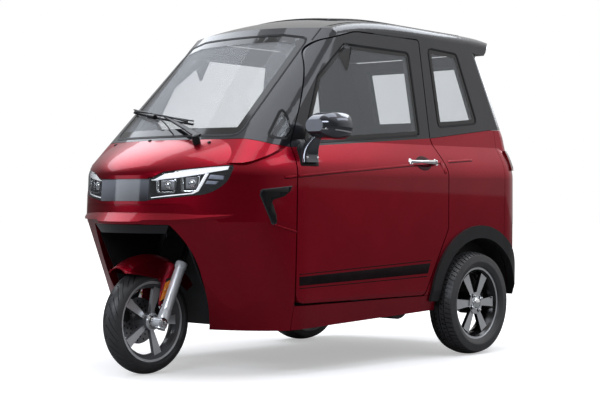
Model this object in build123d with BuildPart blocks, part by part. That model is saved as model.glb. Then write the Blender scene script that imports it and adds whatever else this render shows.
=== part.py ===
"""A compact closed-cabin car on three wheels: one steered wheel in a nose fork, two driven at the back.

Millimetres. +Z is up, the nose points along -Y and the car's left side is +X.
The origin is on the ground, midway between the flanks and midway along the car.
"""

import os
from math import acos, cos, degrees, radians, sin, sqrt

from build123d import *

# ---- Overall size -------------------------------------------------------------------------------
overall_length = 2302.0  # front tyre to rear face
wheelbase = 1600.0
rear_track = 1095.0

# ---- Wheels -------------------------------------------------------------------------------------
front_tyre_radius = 226.0
front_tyre_width = 100.0
rear_tyre_radius = 247.0
rear_tyre_width = 135.0
rim_lip_radius = 169.0
rim_spokes_front = 5
rim_spokes_rear = 6
front_hub_radius = 38.0
rear_hub_radius = 52.0
front_axle_y = -overall_length / 2 + front_tyre_radius
rear_axle_y = front_axle_y + wheelbase

# ---- Steering -----------------------------------------------------------------------------------
rake = 25.0  # steering axis, degrees from vertical
steer_offset = 60.0  # steering axis behind the front axle, at axle height
leg_spacing = 166.0
slider_radius = 23.0
stanchion_radius = 16.5
slider_top = 255.0  # along the axis from axle height
yoke_low = 400.0
yoke_thick = 26.0
stem_radius = 17.0
head_low = 450.0
head_high = 580.0
head_radius = 30.0
bearing_gap = 0.05
handlebar_high = 815.0
handlebar_width = 560.0
mudguard_crown = 288.0  # radius at its middle
mudguard_shoulder = 264.0  # radius where its sides turn down
mudguard_width = 118.0
mudguard_wall = 3.5
# Side outline of the mudguard and its legs, from the axle: y, z.
MUDGUARD_SIDE = [
    (-166, 330),
    (-164, 212),
    (-98, 205),
    (8, 184),
    (32, 166),
    (20, 74),
    (28, 50),
    (48, 46),
    (60, 62),
    (84, 172),
    (135, 166),
    (183, 124),
    (253, 170),
    (253, 330),
]

# ---- Lower body ---------------------------------------------------------------------------------
nose_centre_behind_axle = 404.0
nose_centre_y = front_axle_y + nose_centre_behind_axle
rear_face_y = overall_length / 2
rear_corner = 183.0
sill_z = 195.0
crease_z = 850.0
tub_top = 1004.0
body_wall = 30.0
panel_gap = 3.0  # half the gap around a moving panel
seam = 1.0  # half the gap between fixed panels

# Level outlines of the lower body: height, half width, nose length ahead of nose_centre_y, rear inset.
SILL_LEVELS = [
    (sill_z, 545.0, 297.0, 25.0),
    (320.0, 566.0, 369.0, 0.0),
    (655.0, 572.0, 562.0, 4.0),
    (crease_z, 576.0, 548.0, 10.0),
]
SHOULDER_LEVELS = [
    (crease_z, 576.0, 548.0, 10.0),
    (900.0, 570.0, 518.0, 13.0),
    (955.0, 548.0, 442.0, 17.0),
    (tub_top, 522.0, 345.0, 25.0),
]

# ---- Cab ----------------------------------------------------------------------------------------
cab_base_z = 880.0
cab_top_z = 1660.0  # above the roof
belt_half = 522.0  # half width of the cab at belt_side_z
belt_side_z = 1000.0
rail_half = 446.0  # half width at rail_z
rail_z = 1490.0
roof_edge_drop = 48.0
roof_edge_radius = 55.0
screen_run = 512.0  # windscreen slope: backwards run over screen_rise
screen_rise = 517.0
screen_base_y = -845.0
screen_bow = 125.0  # windscreen's set-back at the cab's sides
hatch_bow = 30.0
# Back of the cab at its middle and the rounding of its front pillars: height, y, radius.
CAB_LEVELS = [(cab_base_z, 1132.0, 200.0), (1060.0, 1108.0, 172.0), (cab_top_z, 888.0, 90.0)]
rear_pillar_radius = 110.0
glass_wall = 5.0
glass_sink = 1.5
glass_rebate = 15.0
# Roof height along the car: y, z.
ROOF_STATIONS = [
    (-900.0, 1350.0),
    (-330.0, 1522.0),
    (-110.0, 1583.0),
    (250.0, 1613.0),
    (650.0, 1606.0),
    (1150.0, 1556.0),
]
# Belt line between the red lower body and the black cab: y, z.
BELT_LINE = [
    (-1300.0, 1003.0),
    (-760.0, 1003.0),
    (-690.0, 982.0),
    (-588.0, 969.0),
    (400.0, 1036.0),
    (907.0, 1092.0),
    (1300.0, 1106.0),
]

# ---- Sunroof, doors and tailgate -------------------------------------------------------------------------
sunroof_front_y = -40.0
sunroof_rear_y = 470.0
sunroof_half = 300.0
door_front_y = -588.0
door_bottom_z = 306.0
tailgate_half = 395.0
tailgate_low = 600.0
tailgate_high = 1481.0
tailgate_front_y = 858.0
spoiler_rear_y = 1052.0
spoiler_low = 1491.0  # its underside over the tailgate
rear_seam_y = 945.0

# ---- Rear arches --------------------------------------------------------------------------------
arch_setback = 54.0  # arch centre behind the axle
arch_centre_z = 229.0
arch_inner = 331.0
arch_outer = 392.0
flare_proud = 13.0  # flare's face outside the body's skin
flare_roll = 9.0  # its edge rolled into the arch
flare_foot_z = 270.0
wheelhouse_wall = 6.0
wheelhouse_inner_x = 446.0

os.makedirs("parts", exist_ok=True)

steer_plane = Plane(
    origin=(0, front_axle_y + steer_offset, front_tyre_radius),
    x_dir=(1, 0, 0),
    z_dir=(0, sin(radians(rake)), cos(radians(rake))),
)
leg_back = -steer_offset * cos(radians(rake)) + 14.0


def save(piece, name):
    """Label a finished piece and write it as its own STEP file."""
    piece.label = name
    export_step(piece, "parts/" + name + ".step")


# ---- Master surfaces ----------------------------------------------------------------------------
def level_outline(z, half, nose, rear, inset):
    """One level outline of the lower body: elliptical nose, straight sides, rounded rear corners."""
    x = half - inset
    back = rear_face_y - rear - inset
    corner = rear_corner - inset
    with BuildSketch(Plane.XY.offset(z)) as outline:
        with BuildLine():
            EllipticalCenterArc((0, nose_centre_y), x, nose - inset, 180, arc_size=180)
            Line((x, nose_centre_y), (x, back - corner))
            RadiusArc((x, back - corner), (x - corner, back), -corner)
            Line((x - corner, back), (corner - x, back))
            RadiusArc((corner - x, back), (-x, back - corner), -corner)
            Line((-x, back - corner), (-x, nose_centre_y))
        make_face()
    return outline.sketch


def tub(inset):
    """The lower body's closed volume, inset from its outer skin and open at the sill when inset."""
    sink = 0.5 if inset else 0.0
    squash = (tub_top - inset - crease_z) / (tub_top - crease_z)
    with BuildPart() as volume:
        sections = []
        for z, half, nose, rear in SILL_LEVELS:
            low = sink if z == sill_z else 0.0
            sections.append(level_outline(z - low, half, nose, rear, inset))
        loft(sections, ruled=True)
        sections = []
        for z, half, nose, rear in SHOULDER_LEVELS:
            sections.append(level_outline(crease_z + (z - crease_z) * squash, half, nose, rear, inset))
        loft(sections)
    return volume.part


def cab_side_x(z, inset):
    """Half width of the cab at a height."""
    lean = (belt_half - rail_half) / (rail_z - belt_side_z)
    return belt_half - (z - belt_side_z) * lean - inset


def roof_hoop(y, top, inset):
    """One cross-section of the cab: leaning sides, a rounded rail and a crowned roof."""
    high = top - inset
    edge = high - roof_edge_drop
    foot = cab_base_z + 20
    with BuildSketch(Plane(origin=(0, y, 0), x_dir=(1, 0, 0), z_dir=(0, -1, 0))) as hoop:
        with BuildLine():
            Polyline(
                (cab_side_x(edge, inset), edge),
                (cab_side_x(foot, inset), foot),
                (-cab_side_x(foot, inset), foot),
                (-cab_side_x(edge, inset), edge),
            )
            ThreePointArc((-cab_side_x(edge, inset), edge), (0, high), (cab_side_x(edge, inset), edge))
        make_face()
        fillet(hoop.vertices().group_by(Axis.Z)[-1], roof_edge_radius - inset / 2)
    return hoop.sketch


def cab_outline(z, hatch_y, pillar_radius, inset):
    """One level outline of the cab: bowed windscreen and hatch between rounded pillars."""
    x = cab_side_x(z, inset) + 1
    slope = screen_run / screen_rise
    screen_y = screen_base_y + (z - belt_side_z) * slope + inset * sqrt(1 + slope * slope)
    back = hatch_y - inset
    with BuildSketch(Plane.XY.offset(z)) as outline:
        with BuildLine():
            ThreePointArc((-x, screen_y + screen_bow), (0, screen_y), (x, screen_y + screen_bow))
            Line((x, screen_y + screen_bow), (x, back - hatch_bow))
            ThreePointArc((x, back - hatch_bow), (0, back), (-x, back - hatch_bow))
            Line((-x, back - hatch_bow), (-x, screen_y + screen_bow))
        make_face()
        fillet(outline.vertices().group_by(Axis.Y)[0], pillar_radius - inset / 2)
        fillet(outline.vertices().group_by(Axis.Y)[-1], rear_pillar_radius - inset / 2)
    return outline.sketch


def roof_volume(inset):
    """The cab's sides and roof, run past its back."""
    with BuildPart() as volume:
        loft([roof_hoop(y, top, inset) for y, top in ROOF_STATIONS])
    return volume.part


def cab(inset):
    """The cab's closed volume, inset from its outer skin."""
    with BuildPart() as volume:
        add(roof_volume(inset))
        loft([cab_outline(z, y, r, inset) for z, y, r in CAB_LEVELS], ruled=True, mode=Mode.INTERSECT)
    return volume.part


def side_prism(points, low_x, high_x):
    """A prism across the car from a side outline of (y, z) points."""
    with BuildPart() as prism:
        with BuildSketch(Plane.YZ.offset(low_x)):
            with BuildLine():
                Polyline(*points, close=True)
            make_face()
        extrude(amount=high_x - low_x)
    return prism.part


tub_outer = tub(0)
tub_inner = tub(body_wall)
tub_clear = tub(body_wall + seam)
with BuildPart() as outer_volume:
    add(tub_outer)
    add(cab(0))
outer = outer_volume.part
with BuildPart() as inner_volume:
    add(tub_inner)
    add(cab(body_wall))
inner = inner_volume.part
with BuildPart() as shell:
    add(outer)
    add(inner, mode=Mode.SUBTRACT)
body_shell = shell.part


def below_belt(offset):
    points = [(y, z + offset) for y, z in BELT_LINE]
    return side_prism(points + [(1300, 100), (-1300, 100)], -700, 700)


def above_belt(offset):
    points = [(y, z + offset) for y, z in BELT_LINE]
    return side_prism(points + [(1300, 1800), (-1300, 1800)], -700, 700)


# ---- Outlines seen from the side: door, windows -------------------------------------------------
def rounded_outline(corners, grow):
    """A side outline from (y, z, corner radius) rows, grown by a margin."""
    with BuildSketch(Plane.YZ) as outline:
        with BuildLine():
            FilletPolyline(*[(y, z) for y, z, _ in corners], radius=[r for _, _, r in corners], close=True)
        make_face()
        if grow:
            offset(amount=grow, kind=Kind.INTERSECTION)
    return outline.sketch


# Corners of each opening: y, z, corner radius.
DOOR = [
    (door_front_y, door_bottom_z, 45),
    (door_front_y, 975, 40),
    (-340, 1440, 180),
    (-60, 1510, 300),
    (411, 1508, 18),
    (404, 1036, 30),
    (474, 880, 120),
    (480, 610, 60),
    (300, door_bottom_z - 6, 40),
]
DOOR_GLASS = [(-500, 990, 14), (325, 1048, 22), (318, 1440, 26), (-150, 1446, 140), (-352, 1290, 60)]
QUARTER_GLASS = [(484, 1092, 22), (806, 1122, 22), (705, 1462, 22), (478, 1474, 22)]
CORNER_GLASS = [(-690, 1012, 10), (-604, 1004, 10), (-566, 1034, 10), (-576, 1140, 10)]


def across(outline, side):
    """Extrude a side outline outwards from the middle of the car, to its left (1) or right (-1)."""
    with BuildPart() as prism:
        extrude(outline, amount=side * 720)
    return prism.part


def front_prism(points, low_y, high_y, radius=0.0, grow=0.0):
    """A prism along the car from a front outline of (x, z) points with rounded corners."""
    with BuildPart() as prism:
        with BuildSketch(Plane(origin=(0, high_y, 0), x_dir=(1, 0, 0), z_dir=(0, -1, 0))) as face:
            with BuildLine():
                Polyline(*points, close=True)
            make_face()
            if radius:
                fillet(face.vertices(), radius)
            if grow:
                offset(amount=grow, kind=Kind.INTERSECTION)
        extrude(amount=high_y - low_y)
    return prism.part


def block(x0, x1, y0, y1, z0, z1):
    """A box between two corners."""
    with BuildPart() as box:
        with Locations(((x0 + x1) / 2, (y0 + y1) / 2, (z0 + z1) / 2)):
            Box(x1 - x0, y1 - y0, z1 - z0)
    return box.part


def pair(piece):
    """A left-hand piece together with its mirror image."""
    with BuildPart() as both:
        add(piece)
        mirror(piece, about=Plane.YZ)
    return both.part


def mirrored(piece):
    """The right-hand mirror image of a left-hand piece."""
    with BuildPart() as other:
        mirror(piece, about=Plane.YZ, mode=Mode.ADD)
    return other.part


pane_skin = cab(glass_sink) - cab(glass_sink + glass_wall)
rebate_skin = cab(0) - cab(glass_sink + glass_wall)

# ---- Shared cutters -----------------------------------------------------------------------------
SCREEN = [(-392, 1020), (392, 1020), (374, 1466), (250, 1486), (-250, 1486), (-374, 1466)]
HATCH_GLASS = [(-345, 1130), (345, 1130), (318, 1440), (-318, 1440)]
BAND = [(-150, 742), (150, 742), (150, 834), (-150, 834)]
rear_arch_y = rear_axle_y + arch_setback


def wheel_opening():
    """The front wheel's opening, seen from the front: two bowed sides under a level top."""
    with BuildPart() as prism:
        with BuildSketch(Plane(origin=(0, -700, 0), x_dir=(1, 0, 0), z_dir=(0, -1, 0))) as face:
            with BuildLine():
                Line((-236, 644), (236, 644))
                ThreePointArc((236, 644), (285, 545), (299, 428))
                ThreePointArc((299, 428), (286, 314), (236, 180))
                Polyline((236, 180), (236, 100), (-236, 100), (-236, 180))
                ThreePointArc((-236, 180), (-286, 314), (-299, 428))
                ThreePointArc((-299, 428), (-285, 545), (-236, 644))
            make_face()
            fillet(face.vertices().group_by(Axis.Y)[-1], 8)
        extrude(amount=550)
    return prism.part


def lamp_prism(grow=0.0):
    """The left headlamp's outline, run along the car: a long wedge swept up at its outer end."""
    with BuildPart() as prism:
        with BuildSketch(Plane(origin=(0, -600, 0), x_dir=(1, 0, 0), z_dir=(0, -1, 0))) as face:
            with BuildLine():
                Line((152, 746), (345, 766))
                ThreePointArc((345, 766), (419, 799), (451, 880))
                Polyline((451, 880), (446, 891), (345, 879), (217, 862), (168, 838), (152, 838), (152, 746))
            make_face()
            if grow:
                offset(amount=grow, kind=Kind.INTERSECTION)
        extrude(amount=650)
    return prism.part


def front_facet():
    """What lies ahead of the flat facet beside the wheel opening, on the left."""
    with BuildPart() as ahead:
        with BuildSketch(Plane(origin=(404, -918, 669), z_dir=(0.501, -0.802, -0.325))):
            Rectangle(900, 900)
        extrude(amount=200)
        add(block(120, 700, -1400, -700, 100, 664), mode=Mode.INTERSECT)
    return ahead.part


def arch_disc(radius, low_x, high_x):
    """A disc across the car at the rear arch's centre."""
    with BuildPart() as disc:
        with BuildSketch(Plane.YZ.offset(low_x)):
            with Locations((rear_arch_y, arch_centre_z)):
                Circle(radius)
        extrude(amount=high_x - low_x)
    return disc.part


door_body = across(rounded_outline(DOOR, -panel_gap), 1)


def tailgate_block(gap):
    """The tailgate's rectangle seen from behind, smaller by a gap on each side."""
    half = tailgate_half - gap
    return block(-half, half, tailgate_front_y, 1300, tailgate_low + gap, tailgate_high - gap)


tailgate_hole = tailgate_block(-panel_gap)
lower_zone = below_belt(-seam)
upper_zone = above_belt(seam)

# ---- Front shell: hood, nose and flanks in one moulding -----------------------------------------
# Plan outlines of the lip under the lamps, in a plane that rises rearwards: height, half width, nose.
LIP_LEVELS = [(44.0, 548.0, 540.0), (2.0, 562.0, 584.0), (-9.0, 562.0, 581.0), (-24.0, 548.0, 552.0)]
lip_plane = Plane(origin=(0, nose_centre_y, 656 + 0.12 * 562), x_dir=(1, 0, 0), z_dir=(0, -0.12, 1))
with BuildPart() as lip:
    sections = []
    for height, half, nose in LIP_LEVELS:
        with BuildSketch(lip_plane.offset(height)) as outline:
            with BuildLine():
                EllipticalCenterArc((0, 0), half, nose, 180, arc_size=180)
                Line((half, 0), (-half, 0))
            make_face()
        sections.append(outline.sketch)
    loft(sections, ruled=True)
    add(tub_inner, mode=Mode.SUBTRACT)
    add(block(-700, 700, nose_centre_y - 200, 200, 500, 900), mode=Mode.SUBTRACT)

groove_low = 672.0
groove_high = 730.0
with BuildPart() as brow_groove:
    add(block(-700, 700, -1300, -700, groove_low, groove_high))
    with BuildSketch(Plane.XY.offset(groove_low)):
        with BuildLine():
            EllipticalCenterArc((0, nose_centre_y), 592, 549, 180, arc_size=180)
            Line((592, nose_centre_y), (-592, nose_centre_y))
        make_face()
    extrude(amount=groove_high - groove_low, mode=Mode.SUBTRACT)

with BuildPart() as front_shell:
    add(body_shell)
    add(lower_zone, mode=Mode.INTERSECT)
    add(block(-700, 700, -1300, door_front_y - panel_gap, 100, 1300), mode=Mode.INTERSECT)
    add(brow_groove.part, mode=Mode.SUBTRACT)
    add(lip.part)
    add(pair(front_facet()), mode=Mode.SUBTRACT)
    add(wheel_opening(), mode=Mode.SUBTRACT)
    add(pair(lamp_prism(2)), mode=Mode.SUBTRACT)
    add(front_prism(BAND, -1250, -900, grow=1), mode=Mode.SUBTRACT)
save(front_shell.part, "front_shell")

# ---- Nose band and lamps ------------------------------------------------------------------------
with BuildPart() as nose_band:
    add(tub(6) - tub(26))
    add(front_prism(BAND, -1250, -900), mode=Mode.INTERSECT)
save(nose_band.part, "nose_band")

lamp_depth = 60.0
lamp_back = tub(lamp_depth)
with BuildPart() as lamp_unit:
    add(tub(9) - lamp_back)
    add(lamp_prism(), mode=Mode.INTERSECT)
    add((tub(0) - tub(lamp_depth - 10)) & lamp_prism(-7), mode=Mode.SUBTRACT)
save(pair(lamp_unit.part), "headlamp_units")

with BuildPart() as lamp_lens:
    add(tub(2) - tub(6))
    add(lamp_prism(0.5), mode=Mode.INTERSECT)
save(pair(lamp_lens.part), "headlamp_lenses")

# ---- Cab frame: pillars and roof ----------------------------------------------------------------
with BuildPart() as cab_frame:
    add(body_shell)
    add(upper_zone, mode=Mode.INTERSECT)
    add(rebate_skin & front_prism(SCREEN, -1000, -150, radius=30, grow=1.5), mode=Mode.SUBTRACT)
    add(front_prism(SCREEN, -1000, -150, radius=30, grow=-glass_rebate), mode=Mode.SUBTRACT)
    for side in (1, -1):
        add(across(rounded_outline(DOOR, panel_gap), side), mode=Mode.SUBTRACT)
        for corners, rebate in ((QUARTER_GLASS, glass_rebate), (CORNER_GLASS, 8)):
            add(rebate_skin & across(rounded_outline(corners, 1.5), side), mode=Mode.SUBTRACT)
            add(across(rounded_outline(corners, -rebate), side), mode=Mode.SUBTRACT)
    add(tailgate_hole, mode=Mode.SUBTRACT)
save(cab_frame.part, "cab_frame")

# ---- Sunroof ----------------------------------------------------------------------------------------
sunroof_proud = 5.0
with BuildPart() as sunroof_panel:
    add(roof_volume(-sunroof_proud) - cab(0))
    with BuildSketch(Plane.XY.offset(1500)):
        with Locations((0, (sunroof_front_y + sunroof_rear_y) / 2)):
            RectangleRounded(2 * sunroof_half, sunroof_rear_y - sunroof_front_y, 60)
    extrude(amount=200, mode=Mode.INTERSECT)
save(sunroof_panel.part, "sunroof_panel")

# ---- Fixed glass ----------------------------------------------------------------------------------
with BuildPart() as windscreen:
    add(pane_skin)
    add(front_prism(SCREEN, -1000, -150, radius=30), mode=Mode.INTERSECT)
save(windscreen.part, "windscreen")

with BuildPart() as quarter_window:
    add(pane_skin)
    add(across(rounded_outline(QUARTER_GLASS, 0), 1), mode=Mode.INTERSECT)
save(pair(quarter_window.part), "quarter_windows")

with BuildPart() as corner_window:
    add(pane_skin)
    add(across(rounded_outline(CORNER_GLASS, 0), 1), mode=Mode.INTERSECT)
save(pair(corner_window.part), "corner_windows")

# ---- Doors ----------------------------------------------------------------------------------------
with BuildPart() as door_shell:
    add(body_shell)
    add(door_body, mode=Mode.INTERSECT)
    add(block(0, 700, -700, 700, 200, 1700), mode=Mode.INTERSECT)
with BuildPart() as left_door:
    add(door_shell.part)
    add(below_belt(0), mode=Mode.INTERSECT)
with BuildPart() as left_door_frame:
    add(door_shell.part)
    add(above_belt(0), mode=Mode.INTERSECT)
    add(rebate_skin & across(rounded_outline(DOOR_GLASS, 1.5), 1), mode=Mode.SUBTRACT)
    add(across(rounded_outline(DOOR_GLASS, -glass_rebate), 1), mode=Mode.SUBTRACT)
with BuildPart() as left_door_glass:
    add(pane_skin)
    add(across(rounded_outline(DOOR_GLASS, 0), 1), mode=Mode.INTERSECT)

handle_y = 292.0
handle_z = 922.0
handle_length = 210.0
with BuildPart() as left_door_handle:
    with BuildSketch(Plane.XY.offset(handle_z)):
        with BuildLine():
            base_x = 552.0
            Polyline(
                (base_x, handle_y - handle_length / 2),
                (base_x + 48, handle_y - handle_length / 2 + 30),
                (base_x + 48, handle_y + handle_length / 2 - 30),
                (base_x, handle_y + handle_length / 2),
                (base_x, handle_y + handle_length / 2 - 24),
                (base_x + 37, handle_y + handle_length / 2 - 48),
                (base_x + 37, handle_y - handle_length / 2 + 48),
                (base_x, handle_y - handle_length / 2 + 24),
                close=True,
            )
        make_face()
    extrude(amount=15, both=True)
    add(outer, mode=Mode.SUBTRACT)

# Mirror body from its cap to its glass: depth from the glass, shift outwards, width, height, corner radius.
MIRROR_SECTIONS = [
    (124, -22, 96, 50, 22),
    (104, -10, 140, 92, 42),
    (66, -2, 168, 114, 52),
    (0, 0, 166, 114, 52),
]
mirror_z = 1060.0
# Mirror arm from its foot on the door to the body: z, x, y, width, length, corner radius.
ARM_SECTIONS = [
    (906, 566, -510, 44, 96, 16),
    (962, 566, -506, 46, 84, 16),
    (1012, 598, -498, 40, 50, 14),
]


def door_mirror(glass_x, glass_y, facing):
    """A left-hand mirror: its glass centred at a place and facing a level direction away from its cap."""
    outwards = (facing[1], -facing[0])
    with BuildPart() as mirror_body:
        for depth, shift, width, height, radius in MIRROR_SECTIONS:
            x = glass_x - depth * facing[0] + shift * outwards[0]
            y = glass_y - depth * facing[1] + shift * outwards[1]
            plane = Plane(origin=(x, y, mirror_z), x_dir=(*outwards, 0), z_dir=(-facing[0], -facing[1], 0))
            with BuildSketch(plane):
                RectangleRounded(width, height, radius)
        loft()
        for z, x, y, width, length, radius in ARM_SECTIONS:
            with BuildSketch(Plane.XY.offset(z)):
                with Locations((x, y)):
                    RectangleRounded(width, length, radius)
        loft()
        add(outer, mode=Mode.SUBTRACT)
    return mirror_body.part


left_mirror = door_mirror(650, -424, (0, 1))
right_mirror = mirrored(door_mirror(534, -424, (-1, 0)))  # folded in
save(left_door.part, "left_door")
save(left_door_frame.part, "left_door_frame")
save(left_door_glass.part, "left_door_glass")
save(left_door_handle.part, "left_door_handle")
save(left_mirror, "left_mirror")
save(mirrored(left_door.part), "right_door")
save(mirrored(left_door_frame.part), "right_door_frame")
save(mirrored(left_door_glass.part), "right_door_glass")
save(mirrored(left_door_handle.part), "right_door_handle")
save(right_mirror, "right_mirror")

# ---- Sills, quarters and rear shell -----------------------------------------------------------------
arch_cut = arch_disc(arch_inner + flare_roll + seam, 400, 700)
with BuildPart() as quarters:
    add(body_shell)
    add(lower_zone, mode=Mode.INTERSECT)
    quarter_front_y = door_front_y - panel_gap + 2 * seam
    add(block(-700, 700, quarter_front_y, rear_seam_y - seam, 100, 1300), mode=Mode.INTERSECT)
    for side in (1, -1):
        add(across(rounded_outline(DOOR, panel_gap), side), mode=Mode.SUBTRACT)
    add(pair(arch_cut), mode=Mode.SUBTRACT)
with BuildPart() as sill_panels:
    add(quarters.part)
    add(block(-700, 700, -700, 400, 100, 298), mode=Mode.INTERSECT)
    add(side_prism([(-620, 195), (400, 228), (400, 100), (-620, 100)], -700, 700), mode=Mode.SUBTRACT)
with BuildPart() as rear_quarters:
    add(quarters.part)
    add(block(-700, 700, 300, 1000, 300, 1300), mode=Mode.INTERSECT)
save(sill_panels.part, "sill_panels")
save(rear_quarters.part, "rear_quarters")
with BuildPart() as rear_shell:
    add(body_shell)
    add(lower_zone, mode=Mode.INTERSECT)
    add(block(-700, 700, rear_seam_y + seam, 1300, flare_foot_z, 1300), mode=Mode.INTERSECT)
    add(tailgate_hole, mode=Mode.SUBTRACT)
    add(pair(arch_cut), mode=Mode.SUBTRACT)
save(rear_shell.part, "rear_shell")

# ---- Tailgate ---------------------------------------------------------------------------------------
with BuildPart() as tailgate_skin:
    add(body_shell)
    add(tailgate_block(panel_gap), mode=Mode.INTERSECT)
with BuildPart() as tailgate:
    add(tailgate_skin.part)
    add(below_belt(0), mode=Mode.INTERSECT)
with BuildPart() as tailgate_frame:
    add(tailgate_skin.part)
    add(above_belt(0), mode=Mode.INTERSECT)
    add(rebate_skin & front_prism(HATCH_GLASS, 850, 1250, radius=24, grow=1.5), mode=Mode.SUBTRACT)
    add(front_prism(HATCH_GLASS, 850, 1250, radius=24, grow=-glass_rebate), mode=Mode.SUBTRACT)
with BuildPart() as rear_window:
    add(pane_skin)
    add(front_prism(HATCH_GLASS, 850, 1250, radius=24), mode=Mode.INTERSECT)
# Side outline of the volume the spoiler is cut from: y, z.
SPOILER_SIDE = [
    (830, 1700),
    (830, 1478),
    (943, 1471),
    (1000, 1524),
    (spoiler_rear_y, 1546),
    (spoiler_rear_y, 1700),
]
with BuildPart() as rear_spoiler:
    add(roof_volume(0))
    add(side_prism(SPOILER_SIDE, -500, 500), mode=Mode.INTERSECT)
    with BuildSketch(Plane.XY.offset(1400)):
        RectangleRounded(900, 2 * spoiler_rear_y, 120)
    extrude(amount=300, mode=Mode.INTERSECT)
    hatch_half = tailgate_half + panel_gap
    add(block(-hatch_half, hatch_half, 800, 1300, 1400, spoiler_low), mode=Mode.SUBTRACT)
    add(outer, mode=Mode.SUBTRACT)
save(tailgate.part, "tailgate")
save(tailgate_frame.part, "tailgate_frame")
save(rear_window.part, "rear_window")
save(rear_spoiler.part, "rear_spoiler")

# ---- Floor, wheelhouses and wheel well --------------------------------------------------------------
floor_z = 232.0
floor_wall = 28.0
deck_z = 430.0
floor_front_y = -575.0
kick_y = 400.0
with BuildPart() as floor_pan:
    with BuildSketch(Plane.YZ):
        with BuildLine():
            Polyline(
                (floor_front_y, floor_z),
                (kick_y, floor_z),
                (kick_y + 60, deck_z),
                (1110, deck_z),
                (1110, deck_z + floor_wall),
                (kick_y + 42, deck_z + floor_wall),
                (kick_y - 18, floor_z + floor_wall),
                (floor_front_y, floor_z + floor_wall),
                close=True,
            )
        make_face()
    extrude(amount=700, both=True)
    add(tub_clear, mode=Mode.INTERSECT)
    wheelhouse_cut = arch_disc(arch_inner + wheelhouse_wall + seam, wheelhouse_inner_x - seam, 700)
    add(pair(wheelhouse_cut), mode=Mode.SUBTRACT)
    add(block(-272, 272, -700, -540, 100, 400), mode=Mode.SUBTRACT)
save(floor_pan.part, "floor_pan")

with BuildPart() as wheelhouse:
    add(arch_disc(arch_inner + wheelhouse_wall, wheelhouse_inner_x, 543))
    add(arch_disc(arch_inner, wheelhouse_inner_x + wheelhouse_wall, 700), mode=Mode.SUBTRACT)
    add(block(0, 700, 300, 1200, 0, flare_foot_z), mode=Mode.SUBTRACT)
    add(block(0, 700, 300, 418, 0, 300), mode=Mode.SUBTRACT)
    with BuildSketch(Plane.YZ.offset(400)):
        with Locations((rear_axle_y, rear_tyre_radius)):
            Circle(38)
    extrude(amount=100, mode=Mode.SUBTRACT)
    add(tub_clear, mode=Mode.INTERSECT)
save(pair(wheelhouse.part), "wheelhouses")

well_half = 264.0
well_wall = 5.0
well_top = 706.0
well_rear_y = -604.0
well_corner = 80.0


def well_arch(half, top, corner):
    """The wheel well's front outline, open at the bottom."""
    with BuildSketch(Plane(origin=(0, well_rear_y, 0), x_dir=(1, 0, 0), z_dir=(0, -1, 0))) as arch:
        with BuildLine():
            FilletPolyline(
                (half, 180),
                (half, top),
                (-half, top),
                (-half, 180),
                radius=[0, corner, corner, 0],
                close=True,
            )
        make_face()
    return arch.sketch


well_outside = well_arch(well_half + well_wall, well_top + well_wall, well_corner + well_wall)
with BuildPart() as wheel_well:
    extrude(well_outside, amount=600)
    extrude(well_arch(well_half, well_top, well_corner), amount=600, mode=Mode.SUBTRACT)
    with BuildSketch(Plane(origin=(0, well_rear_y + well_wall, 0), x_dir=(1, 0, 0), z_dir=(0, -1, 0))):
        add(well_outside.moved(Location((0, well_wall, 0))))
    extrude(amount=well_wall)
    add(tub_clear, mode=Mode.INTERSECT)
    with BuildSketch(steer_plane.offset(head_low)):
        Circle(head_radius)
    extrude(amount=head_high - head_low, mode=Mode.SUBTRACT)
save(wheel_well.part, "wheel_well")

with BuildPart() as nose_bar:
    add(tub(16) - tub(body_wall + 14))
    add(front_prism([(-232, 642), (-206, 606), (206, 606), (232, 642)], -1200, -900), mode=Mode.INTERSECT)
save(nose_bar.part, "nose_bar")

# ---- Trim on the flanks -----------------------------------------------------------------------------
flare_lip = body_wall - 4.0  # depth of the rolled edge behind the body's surface
flare_face = tub(-flare_proud)
with BuildPart() as flare:
    add(arch_disc(arch_outer, 400, 700))
    add(arch_disc(arch_inner, 300, 800), mode=Mode.SUBTRACT)
    add(flare_face - outer, mode=Mode.INTERSECT)
    rolled_edge = arch_disc(arch_inner + flare_roll, 400, 700) - arch_disc(arch_inner, 300, 800)
    add(rolled_edge & (flare_face - tub(flare_lip)))
    add(block(0, 700, 200, 1200, -400, flare_foot_z), mode=Mode.SUBTRACT)
save(pair(flare.part), "arch_flares")

tail_low = 893.0
tail_high = 992.0
with BuildPart() as tail_lamp:
    add(tub(-9) - outer)
    add(block(425, 700, 1010, 1300, tail_low, tail_high), mode=Mode.INTERSECT)
save(pair(tail_lamp.part), "tail_lamps")

# ---- Cabin ------------------------------------------------------------------------------------------
with BuildPart() as dashboard:
    with BuildSketch(Plane.YZ):
        with BuildLine():
            Polyline((-860, 740), (-700, 740), (-690, 900), (-720, 925), (-860, 940), close=True)
        make_face()
    extrude(amount=700, both=True)
    add(lamp_back, mode=Mode.INTERSECT)
save(dashboard.part, "dashboard")

# Side outlines of the seat and of the bench: y, z.
SEAT_SIDE = [(-190, 440), (-190, 560), (160, 530), (270, 960), (345, 960), (235, 440)]
BENCH_SIDE = [(500, 458), (500, 570), (760, 550), (840, 950), (910, 950), (850, 458)]
with BuildPart() as driver_seat:
    with BuildSketch(Plane.YZ):
        with BuildLine():
            FilletPolyline(*SEAT_SIDE, radius=[30, 40, 40, 30, 30, 30], close=True)
        make_face()
    extrude(amount=230, both=True)
save(driver_seat.part, "driver_seat")

with BuildPart() as seat_base:
    add(block(-200, 200, -150, 210, floor_z + floor_wall, 440))
save(seat_base.part, "battery_box")

with BuildPart() as rear_bench:
    with BuildSketch(Plane.YZ):
        with BuildLine():
            FilletPolyline(*BENCH_SIDE, radius=[20, 40, 40, 30, 30, 20], close=True)
        make_face()
    extrude(amount=430, both=True)
save(rear_bench.part, "rear_bench")

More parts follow.
